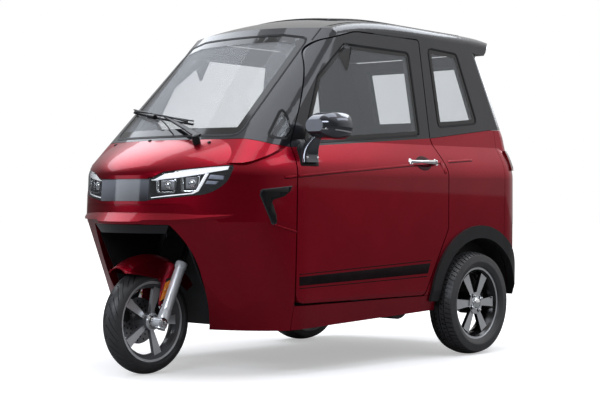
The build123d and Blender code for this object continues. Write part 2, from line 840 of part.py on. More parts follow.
# ---- Wheels -----------------------------------------------------------------------------------------


def tyre(radius, width, bead, crown, shoulder_share, plane):
    """A tyre turned about the plane's normal: bead, bulging sidewalls and a crowned tread."""
    half = width / 2
    with BuildPart() as ring:
        with BuildSketch(Plane.XZ):
            with BuildLine():
                shoulder = radius - crown
                bulge = (bead + shoulder) / 2
                tread = half * shoulder_share
                ThreePointArc((bead, half * 0.74), (bulge, half), (shoulder, tread))
                ThreePointArc((shoulder, tread), (radius, 0), (shoulder, -tread))
                ThreePointArc((shoulder, -tread), (bulge, -half), (bead, -half * 0.74))
                Line((bead, -half * 0.74), (bead, half * 0.74))
            make_face()
        revolve(axis=Axis.Z)
    return ring.part.moved(plane.location)


def rim(lip, width, hub, hub_half, bore, count, spoke, face, plane):
    """A cast wheel turned about the plane's normal: flanged barrel, tapered spokes and a hub."""
    half = width / 2
    with BuildPart() as wheel:
        with BuildSketch(Plane.XZ):
            with BuildLine():
                Polyline(
                    (lip + 4, half * 0.72),
                    (lip + 4, half * 0.62),
                    (lip - 8, half * 0.5),
                    (lip - 20, half * 0.2),
                    (lip - 20, -half * 0.2),
                    (lip - 8, -half * 0.5),
                    (lip + 4, -half * 0.62),
                    (lip + 4, -half * 0.72),
                    (lip - 6, -half * 0.72),
                    (lip - 14, -half * 0.56),
                    (lip - 26, -half * 0.2),
                    (lip - 26, half * 0.2),
                    (lip - 14, half * 0.56),
                    (lip - 6, half * 0.72),
                    close=True,
                )
            make_face()
        revolve(axis=Axis.Z)
        Cylinder(hub, 2 * hub_half)
        with BuildSketch(Plane.XY.offset(face)):
            with PolarLocations(0, count):
                with Locations(((lip - 23 + hub - 6) / 2, 0)):
                    Trapezoid(spoke * 1.25, lip - 23 - hub + 12, 84, rotation=90)
        extrude(amount=-18)
        Cylinder(bore, 4 * hub_half, mode=Mode.SUBTRACT)
    return wheel.part.moved(plane.location)


front_wheel_plane = Plane(origin=(0, front_axle_y, front_tyre_radius), x_dir=(0, 1, 0), z_dir=(1, 0, 0))
axle_radius = 10.0
save(tyre(front_tyre_radius, front_tyre_width, rim_lip_radius + 4, 27, 0.95, front_wheel_plane), "front_tyre")
front_rim = rim(
    rim_lip_radius,
    front_tyre_width,
    front_hub_radius,
    40,
    axle_radius + bearing_gap,
    rim_spokes_front,
    34,
    22,
    front_wheel_plane,
)
save(front_rim, "front_rim")

disc_radius = 100.0
disc_x = -52.0  # outer face
disc_thick = 4.0
with BuildPart() as brake_disc:
    with BuildSketch(Plane.YZ.offset(disc_x)):
        with Locations((front_axle_y, front_tyre_radius)):
            Circle(disc_radius)
            Circle(front_hub_radius - 6, mode=Mode.SUBTRACT)
    extrude(amount=disc_thick)
    with BuildSketch(Plane.YZ.offset(disc_x + disc_thick)):
        with Locations((front_axle_y, front_tyre_radius)):
            Circle(front_hub_radius)
            Circle(axle_radius + 4, mode=Mode.SUBTRACT)
    extrude(amount=8)
save(brake_disc.part, "brake_disc")

rear_hub_axle = 24.0
for name, side in (("left", 1), ("right", -1)):
    hub_centre = (side * rear_track / 2, rear_axle_y, rear_tyre_radius)
    plane = Plane(origin=hub_centre, x_dir=(0, 1, 0), z_dir=(side, 0, 0))
    rear_tyre = tyre(rear_tyre_radius, rear_tyre_width, rim_lip_radius + 4, 14, 0.94, plane)
    rear_rim = rim(
        rim_lip_radius,
        rear_tyre_width,
        rear_hub_radius,
        42,
        rear_hub_axle + bearing_gap,
        rim_spokes_rear,
        40,
        38,
        plane,
    )
    save(rear_tyre, "rear_" + name + "_tyre")
    save(rear_rim, "rear_" + name + "_rim")

# ---- Steering fork ----------------------------------------------------------------------------------
axle_local_y = -steer_offset * cos(radians(rake))
axle_local_z = -steer_offset * sin(radians(rake))
with BuildPart() as sliders:
    for side in (1, -1):
        with BuildSketch(steer_plane.offset(axle_local_z - 26)):
            with Locations((side * leg_spacing / 2, leg_back)):
                Circle(slider_radius)
                Circle(stanchion_radius + bearing_gap, mode=Mode.SUBTRACT)
        extrude(amount=slider_top - axle_local_z + 26)
        with BuildSketch(steer_plane.offset(axle_local_z - 26)):
            with Locations((side * leg_spacing / 2, leg_back)):
                Circle(stanchion_radius + 1)
        extrude(amount=60)
    with BuildSketch(Plane.YZ.offset(-leg_spacing / 2 - slider_radius - 6)):
        with Locations((front_axle_y, front_tyre_radius)):
            Circle(axle_radius)
    extrude(amount=leg_spacing + 2 * slider_radius + 12)
    for side in (1, -1):
        with BuildSketch(Plane.YZ.offset(side * (leg_spacing / 2 - 22))):
            with Locations((front_axle_y, front_tyre_radius)):
                Circle(22)
        extrude(amount=side * 44)
save(sliders.part, "fork_sliders")

with BuildPart() as fork_tubes:
    for side in (1, -1):
        with BuildSketch(steer_plane.offset(axle_local_z + 40)):
            with Locations((side * leg_spacing / 2, leg_back)):
                Circle(stanchion_radius)
        extrude(amount=yoke_low + yoke_thick - axle_local_z - 40 + 14)
    with BuildSketch(steer_plane.offset(yoke_low)):
        with Locations((0, leg_back * 0.5)):
            RectangleRounded(leg_spacing + 58, 78, 26)
    extrude(amount=yoke_thick)
    with BuildSketch(steer_plane.offset(yoke_low)):
        Circle(stem_radius)
    extrude(amount=handlebar_high - yoke_low)
save(fork_tubes.part, "fork_tubes")

with BuildPart() as handlebar:
    with BuildSketch(steer_plane.offset(handlebar_high)):
        RectangleRounded(handlebar_width, 26, 12)
    extrude(amount=26)
save(handlebar.part, "handlebar")

with BuildPart() as steering_head:
    with BuildSketch(steer_plane.offset(head_low)):
        Circle(head_radius)
        Circle(stem_radius + bearing_gap, mode=Mode.SUBTRACT)
    extrude(amount=head_high - head_low)
save(steering_head.part, "steering_head")


def mudguard_section(shrink):
    """Half of the mudguard's cross-section and its mirror: a crowned top over straight sides."""
    half = mudguard_width / 2 - shrink
    shoulder = mudguard_shoulder - shrink
    axle_centre = (0, front_axle_y, front_tyre_radius)
    with BuildSketch(Plane(origin=axle_centre, x_dir=(1, 0, 0), z_dir=(0, -1, 0))) as section:
        with BuildLine():
            Polyline((-half, shoulder), (-half, 30), (half, 30), (half, shoulder))
            ThreePointArc((half, shoulder), (0, mudguard_crown - shrink), (-half, shoulder))
        make_face()
    return section.sketch


axle_line = Axis((0, front_axle_y, front_tyre_radius), (1, 0, 0))
with BuildPart() as mudguard:
    revolve(mudguard_section(0), axis=axle_line)
    with BuildPart(mode=Mode.SUBTRACT):
        revolve(mudguard_section(mudguard_wall), axis=axle_line)
    points = [(front_axle_y + y, front_tyre_radius + z) for y, z in MUDGUARD_SIDE]
    add(side_prism(points, -100, 100), mode=Mode.INTERSECT)
save(mudguard.part, "front_mudguard")

caliper_slot = 6.0  # clear of the disc all round
caliper_y = front_axle_y - 89.0
caliper_z = front_tyre_radius + 42.0
with BuildPart() as caliper:
    with BuildSketch(Plane.YZ.offset(disc_x - 22)):
        with Locations((caliper_y, caliper_z)):
            RectangleRounded(54, 80, 14)
    extrude(amount=38)
    add(block(disc_x - 22, disc_x - 10, caliper_y, front_axle_y + 10, caliper_z - 30, caliper_z + 6))
    with BuildSketch(Plane.YZ.offset(disc_x - caliper_slot)):
        with Locations((front_axle_y, front_tyre_radius)):
            Circle(disc_radius + caliper_slot)
    extrude(amount=disc_thick + 2 * caliper_slot, mode=Mode.SUBTRACT)
    with BuildSketch(steer_plane.offset(axle_local_z - 60)):
        with Locations((-leg_spacing / 2, leg_back)):
            Circle(slider_radius)
    extrude(amount=200, mode=Mode.SUBTRACT)
    with BuildSketch(Plane.YZ.offset(-leg_spacing / 2)):
        with Locations((front_axle_y, front_tyre_radius)):
            Circle(22)
    extrude(amount=44, mode=Mode.SUBTRACT)
save(caliper.part, "brake_caliper")

# ---- Rear axle and suspension -----------------------------------------------------------------------
with BuildPart() as rear_axle:
    with BuildSketch(Plane.YZ.offset(-430)):
        with Locations((rear_axle_y, rear_tyre_radius)):
            Circle(32)
    extrude(amount=860)
    with BuildSketch(Plane.YZ.offset(-rear_track / 2 - 30)):
        with Locations((rear_axle_y, rear_tyre_radius)):
            Circle(rear_hub_axle)
    extrude(amount=rear_track + 60)
    with BuildSketch(Plane.YZ.offset(-110)):
        with Locations((rear_axle_y, rear_tyre_radius)):
            Circle(105)
    extrude(amount=220)
save(rear_axle.part, "rear_axle")

# Leaf springs under the axle, shock absorbers over it, and the brackets that hold them.
spring_x = 345.0
spring_half = 25.0
with BuildPart() as suspension:
    with BuildSketch(Plane.YZ.offset(spring_x - spring_half)):
        with BuildLine():
            ThreePointArc((505, 296), (rear_axle_y, 193), (955, 296))
            Line((955, 296), (955, 310))
            ThreePointArc((955, 310), (rear_axle_y, 207), (505, 310))
            Line((505, 310), (505, 296))
        make_face()
    extrude(amount=2 * spring_half)
    add(block(spring_x - 22, spring_x + 22, 492, 520, 300, deck_z - 1))
    add(block(spring_x - 22, spring_x + 22, 940, 968, 300, deck_z - 1))
    add(block(spring_x - 30, spring_x + 30, rear_axle_y - 40, rear_axle_y + 40, 200, 214))
    with BuildSketch(Plane.XY.offset(282)):
        with Locations((spring_x, rear_axle_y)):
            Circle(24)
    extrude(amount=deck_z - 1 - 282)
save(pair(suspension.part), "rear_suspension")
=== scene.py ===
"""The three wheeled car's looks: paint, glass, lamps, trim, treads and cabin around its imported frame."""

import math

import bmesh
import bpy
from mathutils import Matrix, Vector
from mathutils.bvhtree import BVHTree


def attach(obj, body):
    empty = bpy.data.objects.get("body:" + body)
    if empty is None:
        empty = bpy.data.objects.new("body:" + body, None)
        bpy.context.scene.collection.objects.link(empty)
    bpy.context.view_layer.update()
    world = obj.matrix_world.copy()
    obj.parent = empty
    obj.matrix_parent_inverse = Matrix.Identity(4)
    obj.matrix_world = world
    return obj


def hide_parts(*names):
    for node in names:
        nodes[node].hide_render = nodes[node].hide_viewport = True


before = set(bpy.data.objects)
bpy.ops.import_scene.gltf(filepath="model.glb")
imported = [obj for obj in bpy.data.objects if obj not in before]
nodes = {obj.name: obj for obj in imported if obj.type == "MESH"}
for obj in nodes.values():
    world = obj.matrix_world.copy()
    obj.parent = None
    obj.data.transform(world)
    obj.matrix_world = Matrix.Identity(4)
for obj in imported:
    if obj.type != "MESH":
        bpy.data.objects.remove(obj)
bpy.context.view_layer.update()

# ---- Camera -------------------------------------------------------------------------------------
CAMERA_PLACE = (4.662, -5.100, 0.755)
CAMERA_YAW = math.radians(42.105)
CAMERA_DIP = math.radians(0.083)
CAMERA_LENS = 86.98


def place_camera():
    """The viewpoint: low, off the car's front left corner."""
    camera = bpy.data.objects.new("camera", bpy.data.cameras.new("camera"))
    bpy.context.scene.collection.objects.link(camera)
    camera.data.lens = CAMERA_LENS
    camera.data.sensor_width = 36.0
    camera.location = CAMERA_PLACE
    camera.rotation_euler = (math.radians(90) - CAMERA_DIP, 0, CAMERA_YAW)
    bpy.context.scene.camera = camera


# ---- Shader nodes -------------------------------------------------------------------------------
WHITE = (1.0, 1.0, 1.0)


def feed(tree, node, wires):
    """Sockets of a node set to numbers and colours, or linked to other nodes' outputs."""
    for key, value in wires.items():
        socket = node.inputs[key]
        if isinstance(value, bpy.types.NodeSocket):
            tree.links.new(value, socket)
        elif isinstance(value, tuple) and len(value) < len(socket.default_value):
            socket.default_value = (*value, 1)
        else:
            socket.default_value = value
    return node


def made(tree, kind, wires=None, **settings):
    """A shader node with its own settings, its sockets fed."""
    node = tree.nodes.new("ShaderNode" + kind)
    for key, value in settings.items():
        setattr(node, key, value)
    return feed(tree, node, wires or {})


def sum_of(tree, operation, first, second):
    """Two values put through a sum such as MAXIMUM or POWER."""
    return made(tree, "Math", {0: first, 1: second}, operation=operation).outputs[0]


def path_share(tree, *kinds):
    """1 for a ray of one of some kinds, and 0 for every other."""
    path = made(tree, "LightPath")
    total = path.outputs[kinds[0]]
    for kind in kinds[1:]:
        total = sum_of(tree, "MAXIMUM", total, path.outputs[kind])
    return total


def brought(tree, value, from_low, from_high, to_low, to_high):
    """A value between two limits brought between two others, and kept there."""
    limits = {"From Min": from_low, "From Max": from_high, "To Min": to_low, "To Max": to_high}
    return made(tree, "MapRange", {"Value": value, **limits}).outputs[0]


def spread(tree, value, low, high):
    """A value from 0 to 1 brought between two limits."""
    return brought(tree, value, 0.0, 1.0, low, high)


def mixed(tree, share, first, second):
    """One colour turning into another."""
    return made(tree, "Mix", {0: share, 6: first, 7: second}, data_type="RGBA").outputs[2]


def texture(tree, kind, scale, stretch=(1, 1, 1), **settings):
    """A pattern over the piece's own coordinates, in repeats a metre."""
    place = made(tree, "TexCoord").outputs["Object"]
    mapping = made(tree, "Mapping", {"Vector": place, "Scale": stretch})
    return made(tree, "Tex" + kind, {"Vector": mapping.outputs[0], "Scale": scale, **settings})


def ramp(tree, value, low, high, shades):
    """One shade turning into another while a value goes from low to high."""
    band = made(tree, "ValToRGB", {0: value})
    for element, position, colour in zip(band.color_ramp.elements, (low, high), shades):
        element.position = position
        element.color = (*colour, 1)
    return band.outputs[0]


def clouded(tree, value, shades):
    """Two shades in soft clouds."""
    return ramp(tree, value, 0.3, 0.7, shades)


def raise_grain(tree, shader, height, depth, strength=1.0):
    """Bumps from a height pattern, depth in metres."""
    bump = made(tree, "Bump", {"Distance": depth, "Strength": strength, "Height": height})
    feed(tree, shader, {"Normal": bump.outputs[0]})


def blank(name):
    """A new material with its node tree and its main shader."""
    material = bpy.data.materials.new(name)
    material.use_nodes = True
    return material, material.node_tree, material.node_tree.nodes["Principled BSDF"]


# ---- Studio -------------------------------------------------------------------------------------
AMBIENT = 0.46
# The backdrop as a mirror shows it: dim ahead of the car, and bright behind and above it. Each pair is how
# far a ray goes the bright way, and the strength there.
BRIGHT_WAY = (0.14, 0.56, 0.82)
DIM_END, BRIGHT_END = (0.05, 0.07), (0.95, 1.0)
FLOOR_DIFFUSE, FLOOR_GLOSSY, FLOOR_SEEN = (0.20, 0.20, 0.20), (0.22, 0.22, 0.22), (0.80, 0.80, 0.80)
# The floor's own glow as the camera sees it, beside the car and away from it, and how far off each is.
GLOW_NEAR, GLOW_FAR = 0.40, 1.0
GLOW_FROM, GLOW_TO = 0.8, 3.2
FLOOR_HALF = 30
LAMP_TINT = (0.87, 0.92, 1.0)
LAMPS = [
    # name, place, aim, size across, size down, watts
    ("overhead_box", (0.5, -0.5, 3.6), (0.1, -0.3, 0.6), 2.0, 2.6, 38),
    ("roof_rear_box", (0.6, 3.0, 4.3), (0.1, 0.3, 1.3), 2.8, 1.8, 64),
    ("front_box", (1.0, -4.4, 2.5), (0.2, -0.7, 0.6), 2.8, 0.7, 58),
    ("side_strip", (2.4, 0.8, 2.6), (0.5, 0.5, 0.9), 2.8, 0.8, 17),
    ("far_side_box", (-2.5, -0.5, 3.3), (0, -0.7, 0.8), 3.2, 2.0, 56),
    ("nose_box", (-3.0, -4.4, 1.4), (0.0, -1.0, 0.7), 2.4, 1.4, 15),
    ("back_box", (-0.6, 4.6, 2.2), (0, 0.9, 0.8), 2.2, 0.8, 18),
]


def hang_lamps():
    """Soft boxes round the car."""
    for name, place, aim, across, down, watts in LAMPS:
        lamp = bpy.data.objects.new(name, bpy.data.lights.new(name, "AREA"))
        bpy.context.scene.collection.objects.link(lamp)
        lamp.data.shape = "RECTANGLE"
        lamp.data.size = across
        lamp.data.size_y = down
        lamp.data.energy = watts
        lamp.data.color = LAMP_TINT
        lamp.location = place
        lamp.rotation_euler = (Vector(aim) - Vector(place)).to_track_quat("-Z", "Y").to_euler()


def light_world():
    """A white backdrop for the camera, a shaded one for mirrors and an even light for everything else."""
    bpy.context.scene.view_settings.view_transform = "Standard"
    world = bpy.data.worlds.new("studio")
    bpy.context.scene.world = world
    world.use_nodes = True
    tree = world.node_tree
    tree.nodes.clear()
    way = made(tree, "TexCoord").outputs["Generated"]
    toward = made(tree, "VectorMath", {0: way, 1: BRIGHT_WAY}, operation="DOT_PRODUCT").outputs["Value"]
    mirrored = brought(tree, toward, DIM_END[0], BRIGHT_END[0], DIM_END[1], BRIGHT_END[1])
    straight = path_share(tree, "Is Camera Ray", "Is Transmission Ray")
    strength = sum_of(tree, "MAXIMUM", straight, mirrored)
    backdrop = made(tree, "Background", {"Color": WHITE, "Strength": strength})
    ambient = made(tree, "Background", {"Color": WHITE, "Strength": AMBIENT})
    seen = path_share(tree, "Is Camera Ray", "Is Glossy Ray", "Is Transmission Ray")
    choice = made(tree, "MixShader", {0: seen, 1: ambient.outputs[0], 2: backdrop.outputs[0]})
    made(tree, "OutputWorld", {"Surface": choice.outputs[0]})


def lay_floor():
    """A floor that glows white away from the car and keeps the car's shadow."""
    sheet = bmesh.new()
    bmesh.ops.create_grid(sheet, x_segments=1, y_segments=1, size=FLOOR_HALF)
    floor = bpy.data.objects.new("studio_floor", bpy.data.meshes.new("studio_floor"))
    sheet.to_mesh(floor.data)
    sheet.free()
    bpy.context.scene.collection.objects.link(floor)
    material, tree, shader = blank("white_floor")
    bounced = mixed(tree, path_share(tree, "Is Glossy Ray"), FLOOR_DIFFUSE, FLOOR_GLOSSY)
    straight = path_share(tree, "Is Camera Ray", "Is Transmission Ray")
    shade = mixed(tree, straight, bounced, FLOOR_SEEN)
    feed(tree, shader, {"Base Color": shade, "Roughness": 0.9, "Specular IOR Level": 0.0})
    place = made(tree, "TexCoord").outputs["Object"]
    reach = made(tree, "VectorMath", {0: place}, operation="LENGTH").outputs["Value"]
    level = brought(tree, reach, GLOW_FROM, GLOW_TO, GLOW_NEAR, GLOW_FAR)
    glow = made(tree, "Emission", {"Color": WHITE, "Strength": sum_of(tree, "MULTIPLY", straight, level)})
    total = made(tree, "AddShader", {0: shader.outputs[0], 1: glow.outputs[0]})
    feed(tree, tree.nodes["Material Output"], {"Surface": total.outputs[0]})
    floor.data.materials.append(material)


# ---- Finishes -----------------------------------------------------------------------------------
COAT_ROUGHNESS = 0.03


def finish(name, shades, gloss, grain, metal=0.0, coat=0.0, mottle=9.0, grain_scale=900.0, shine=0.4):
    """A finish with mottled colour, uneven gloss and a fine grain."""
    material, tree, shader = blank(name)
    clouds = texture(tree, "Noise", mottle, Detail=5.0, Roughness=0.6).outputs["Fac"]
    smudge = texture(tree, "Noise", mottle * 4.3, Detail=3.0).outputs["Fac"]
    fine = texture(tree, "Noise", grain_scale, Detail=2.0).outputs["Fac"]
    raise_grain(tree, shader, fine, grain)
    colour = clouded(tree, clouds, shades)
    feed(tree, shader, {"Base Color": colour, "Roughness": spread(tree, smudge, *gloss)})
    feed(tree, shader, {"Metallic": metal, "Specular IOR Level": shine})
    feed(tree, shader, {"Coat Weight": coat, "Coat Roughness": COAT_ROUGHNESS})
    return material


def flake_paint(name, shades, spark, metal, coat, shine):
    """Metallic lacquer: coloured flakes under a clear coat."""
    material, tree, shader = blank(name)
    flakes = texture(tree, "Voronoi", 1400.0)
    clouds = texture(tree, "Noise", 5.0, Detail=3.0).outputs["Fac"]
    glints = ramp(tree, flakes.outputs["Color"], 0.55, 0.95, ((0, 0, 0), WHITE))
    colour = mixed(tree, spread(tree, glints, 0.0, 0.35), clouded(tree, clouds, shades), spark)
    distance = flakes.outputs["Distance"]
    raise_grain(tree, shader, distance, 0.00001, 0.2)
    feed(tree, shader, {"Base Color": colour, "Roughness": spread(tree, distance, 0.27, 0.35)})
    feed(tree, shader, {"Metallic": metal, "Specular IOR Level": shine})
    feed(tree, shader, {"Coat Weight": coat, "Coat IOR": 1.5, "Coat Roughness": COAT_ROUGHNESS})
    return material


def clear_glass(name, tint, least, mirror, veil):
    """Thin glass: it lets the view through, mirrors more at a slant and carries a faint grey veil, a diffuse
    painted reflection of pale surroundings.
    """
    material, tree, shader = blank(name)
    tree.nodes.remove(shader)
    film = texture(tree, "Noise", 3.0, Detail=2.0).outputs["Fac"]
    paler = tuple(min(1.0, part * 1.02) for part in tint)
    through = made(tree, "BsdfTransparent", {"Color": clouded(tree, film, (tint, paler))})
    cool = (mirror * 0.93, mirror * 0.96, mirror)
    sheen = made(tree, "BsdfGlossy", {"Color": cool, "Roughness": 0.0})
    facing = made(tree, "LayerWeight", {"Blend": 0.5}).outputs["Facing"]
    slant = spread(tree, sum_of(tree, "POWER", facing, 4.0), least, 1.0)
    choice = made(tree, "MixShader", {0: slant, 1: through.outputs[0], 2: sheen.outputs[0]})
    # The grey diffuse veil is a painted reflection.
    painted_reflection_veil = made(tree, "BsdfDiffuse", {"Color": (0.80, 0.81, 0.83)})
    veiled = made(tree, "MixShader", {0: veil, 1: choice.outputs[0], 2: painted_reflection_veil.outputs[0]})
    feed(tree, tree.nodes["Material Output"], {"Surface": veiled.outputs[0]})
    return material


def two_tone_alloy(name, face, lacquer_and_shade):
    """A cast wheel: machined where it faces outwards, dark everywhere else; the dark is partly lacquer and
    partly painted shade inside the barrel and on the spokes' sides.
    """
    material, tree, shader = blank(name)
    facing = made(tree, "SeparateXYZ", {0: made(tree, "TexCoord").outputs["Normal"]}).outputs["X"]
    size = made(tree, "Math", {0: facing}, operation="ABSOLUTE").outputs[0]
    outwards = brought(tree, size, 0.90, 0.97, 0.0, 1.0)
    cut = texture(tree, "Noise", 60.0, stretch=(1, 6, 6), Detail=3.0).outputs["Fac"]
    colour = mixed(tree, outwards, lacquer_and_shade, clouded(tree, cut, face))
    raise_grain(tree, shader, cut, 0.00001)
    feed(tree, shader, {"Base Color": colour, "Metallic": spread(tree, outwards, 0.0, 0.55)})
    feed(tree, shader, {"Roughness": spread(tree, cut, 0.14, 0.24)})
    return material


def faded_band(name, pale, dark):
    """Smoked glass over the nose with a painted sheen: paler towards its top edge and towards the far lamp.
    """
    material, tree, shader = blank(name)
    place = made(tree, "SeparateXYZ", {0: made(tree, "TexCoord").outputs["Object"]})
    sheen_upward = brought(tree, place.outputs["Z"], 0.752, 0.838, 0.0, 0.6)
    across = brought(tree, place.outputs["X"], 0.06, -0.16, 0.0, 0.5)
    smudge = texture(tree, "Noise", 30.0, Detail=3.0).outputs["Fac"]
    colour = mixed(tree, sum_of(tree, "ADD", sheen_upward, across), dark, pale)
    feed(tree, shader, {"Base Color": colour, "Roughness": spread(tree, smudge, 0.06, 0.14)})
    feed(tree, shader, {"Coat Weight": 1.0, "Coat Roughness": COAT_ROUGHNESS})
    return material


def glowing(name, shades, strength):
    """A lit white lens."""
    material, tree, shader = blank(name)
    colour = clouded(tree, texture(tree, "Noise", 40.0, Detail=2.0).outputs["Fac"], shades)
    feed(tree, shader, {"Base Color": colour, "Emission Color": colour, "Emission Strength": strength})
    feed(tree, shader, {"Roughness": 0.25})
    return material


red_paint = flake_paint(
    "deep_red_flake_paint", ((0.27, 0.0006, 0.011), (0.32, 0.0010, 0.014)), (0.66, 0.02, 0.06),
    metal=0.85, coat=0.42, shine=0.04,
)
black_paint = flake_paint(
    "black_cab_paint", ((0.010, 0.010, 0.013), (0.016, 0.016, 0.020)), (0.06, 0.06, 0.07),
    metal=0.3, coat=0.75, shine=0.12,
)
# Each finish: its name, two shades, the limits of its gloss and the depth of its grain.
black_plastic = finish(
    "grained_black_plastic", ((0.012, 0.012, 0.013), (0.020, 0.020, 0.022)), (0.42, 0.55), 0.00010, shine=0.3
)
satin_black = finish(
    "satin_black", ((0.008, 0.008, 0.009), (0.013, 0.013, 0.014)), (0.26, 0.36), 0.00002,
    shine=0.25,
)
gloss_black = finish(
    "gloss_black", ((0.005, 0.005, 0.006), (0.009, 0.009, 0.010)), (0.08, 0.14), 0.000004,
    coat=0.2, shine=0.35,
)
band_black = finish(
    "band_black", ((0.030, 0.031, 0.036), (0.044, 0.045, 0.052)), (0.06, 0.12), 0.000003,
    coat=1.0, mottle=6, shine=0.7,
)
# The nose band's paler top edge and far end are painted sheen.
lamp_band_painted_sheen = faded_band("lamp_band_painted_sheen", (0.30, 0.32, 0.37), (0.035, 0.037, 0.045))
black_chrome = finish(
    "black_chrome", ((0.065, 0.069, 0.082), (0.090, 0.095, 0.112)), (0.05, 0.10), 0.000003,
    metal=0.7, coat=0.8, mottle=8,
)
rubber = finish(
    "tyre_rubber", ((0.026, 0.026, 0.028), (0.042, 0.042, 0.045)), (0.36, 0.48), 0.00006, mottle=14, shine=0.7
)
soft_rubber = finish(
    "seal_rubber", ((0.006, 0.006, 0.007), (0.011, 0.011, 0.012)), (0.45, 0.6), 0.00004, mottle=20, shine=0.2
)
# Both rims are dark wherever they don't face outwards: partly lacquer, partly painted shade.
bright_alloy = two_tone_alloy("bright_alloy", ((0.74, 0.75, 0.78), (0.84, 0.85, 0.88)), (0.11, 0.11, 0.12))
two_tone_and_shade = two_tone_alloy("two_tone_alloy", ((0.68, 0.69, 0.71), (0.82, 0.83, 0.85)), (0.008, 0.008, 0.009))
chrome = finish("chrome", ((0.80, 0.81, 0.82), (0.88, 0.89, 0.90)), (0.04, 0.09), 0.000002, metal=1.0)
steel = finish(
    "brushed_steel", ((0.30, 0.30, 0.32), (0.42, 0.42, 0.44)), (0.25, 0.4), 0.000006,
    metal=1.0, mottle=40,
)
cast_silver = finish(
    "cast_silver", ((0.78, 0.80, 0.84), (0.86, 0.88, 0.92)), (0.20, 0.28), 0.0,
    metal=0.35, mottle=6, shine=0.8,
)
frame_black = finish(
    "frame_lacquer", ((0.012, 0.012, 0.013), (0.019, 0.019, 0.021)), (0.3, 0.42), 0.00002, coat=0.2, shine=0.3
)
cabin_plastic = finish("cabin_plastic", ((0.030, 0.031, 0.034), (0.046, 0.047, 0.051)), (0.5, 0.66), 0.0001)
carpet = finish(
    "floor_carpet", ((0.012, 0.012, 0.013), (0.035, 0.035, 0.036)), (0.85, 0.98), 0.0012,
    mottle=40, grain_scale=600,
)
seat_cloth = finish(
    "seat_cloth", ((0.020, 0.020, 0.023), (0.038, 0.038, 0.042)), (0.7, 0.85), 0.0005,
    mottle=30, grain_scale=700,
)
lamp_black = finish(
    "lamp_housing", ((0.010, 0.011, 0.013), (0.018, 0.019, 0.022)), (0.14, 0.24), 0.00001,
    shine=0.3,
)
stripe_film = finish(
    "stripe_film", ((0.008, 0.004, 0.005), (0.013, 0.007, 0.008)), (0.40, 0.5), 0.00001, mottle=20, shine=0.06
)
pale_bar = finish("pale_lamp_bar", ((0.30, 0.33, 0.42), (0.40, 0.43, 0.52)), (0.25, 0.35), 0.00002, mottle=30)
lens_clear = clear_glass("lamp_lens", (0.97, 0.975, 0.98), least=0.02, mirror=0.5, veil=0.02)
window_glass = clear_glass("window_glass", (0.93, 0.94, 0.95), least=0.05, mirror=0.5, veil=0.06)
screen_glass = clear_glass("screen_glass", (0.98, 0.985, 0.985), least=0.05, mirror=0.14, veil=0.15)
red_lens = finish(
    "red_lens", ((0.10, 0.003, 0.003), (0.16, 0.005, 0.006)), (0.06, 0.14), 0.000004,
    coat=0.5, shine=0.2,
)
amber_lens = finish(
    "amber_lens", ((0.75, 0.20, 0.01), (0.85, 0.28, 0.02)), (0.10, 0.18), 0.00001,
    coat=0.3, shine=0.3,
)
lit_white = glowing("lit_white", ((0.86, 0.88, 0.92), (0.95, 0.96, 0.98)), 0.55)
brass = finish(
    "valve_brass", ((0.55, 0.36, 0.12), (0.65, 0.44, 0.16)), (0.2, 0.32), 0.00001,
    metal=1.0, mottle=40,
)
# A dark red for painted shade: the dark dish behind each door pull and the shade lines under the flank
# creases.
painted_shade_red = finish(
    "painted_shade_dark_red", ((0.030, 0.001, 0.002), (0.050, 0.001, 0.003)), (0.12, 0.2), 0.000004,
    mottle=20, shine=0.2,
)
mirror_silver = finish(
    "mirror_silver", ((0.80, 0.81, 0.82), (0.84, 0.85, 0.86)), (0.01, 0.03), 0.0,
    metal=1.0,
)
seat_leather = finish(
    "seat_leather", ((0.018, 0.018, 0.020), (0.034, 0.034, 0.037)), (0.45, 0.6), 0.0006,
    mottle=24, grain_scale=420,
)


# ---- Making pieces ------------------------------------------------------------------------------
MERGED = 1e-6  # vertices closer than this are one


def finished(name, mesh, body, *materials, bend=35):
    """A bmesh made a piece: merged, facing outwards, smooth up to an angle and riding on a body."""
    bmesh.ops.remove_doubles(mesh, verts=mesh.verts, dist=MERGED)
    bmesh.ops.recalc_face_normals(mesh, faces=mesh.faces)
    data = bpy.data.meshes.new(name)
    mesh.to_mesh(data)
    mesh.free()
    data.polygons.foreach_set("use_smooth", [True] * len(data.polygons))
    data.set_sharp_from_angle(angle=math.radians(bend))
    for material in materials:
        data.materials.append(material)
    piece = bpy.data.objects.new(name, data)
    bpy.context.scene.collection.objects.link(piece)
    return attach(piece, body)


def soften(mesh, edges, size):
    """Rounded edges."""
    bmesh.ops.bevel(
        mesh, geom=edges, offset=size, segments=2, profile=0.5, affect="EDGES", material=-1,
        clamp_overlap=True,
    )


def block(mesh, low, high, size):
    """A box between two corners, its edges rounded."""
    verts = bmesh.ops.create_cube(mesh, size=1)["verts"]
    low, high = Vector(low), Vector(high)
    bmesh.ops.scale(mesh, vec=high - low, verts=verts)
    bmesh.ops.translate(mesh, vec=(low + high) / 2, verts=verts)
    soften(mesh, list({edge for vert in verts for edge in vert.link_edges}), size)


def boxes(name, body, material, size, *corners):
    """A piece of rounded boxes, each between a low corner and a high one."""
    mesh = bmesh.new()
    for low, high in corners:
        block(mesh, low, high, size)
    return finished(name, mesh, body, material)


def spun(mesh, verts, centre, axis, steps, closed=False):
    """A line of vertices spun about an axis; a closed line makes a ring."""
    edges = [mesh.edges.new(pair) for pair in zip(verts, verts[1:] + verts[:1] if closed else verts[1:])]
    bmesh.ops.spin(
        mesh, geom=verts + edges, cent=centre, axis=axis, angle=math.tau, steps=steps,
        use_merge=True, dvec=(0, 0, 0),
    )


TURNING = {
    # The axis that a profile is turned about, and the way that its radius is drawn.
    "X": (Vector((1, 0, 0)), Vector((0, 0, 1))),
    "Y": (Vector((0, 1, 0)), Vector((0, 0, 1))),
    "Z": (Vector((0, 0, 1)), Vector((1, 0, 0))),
}


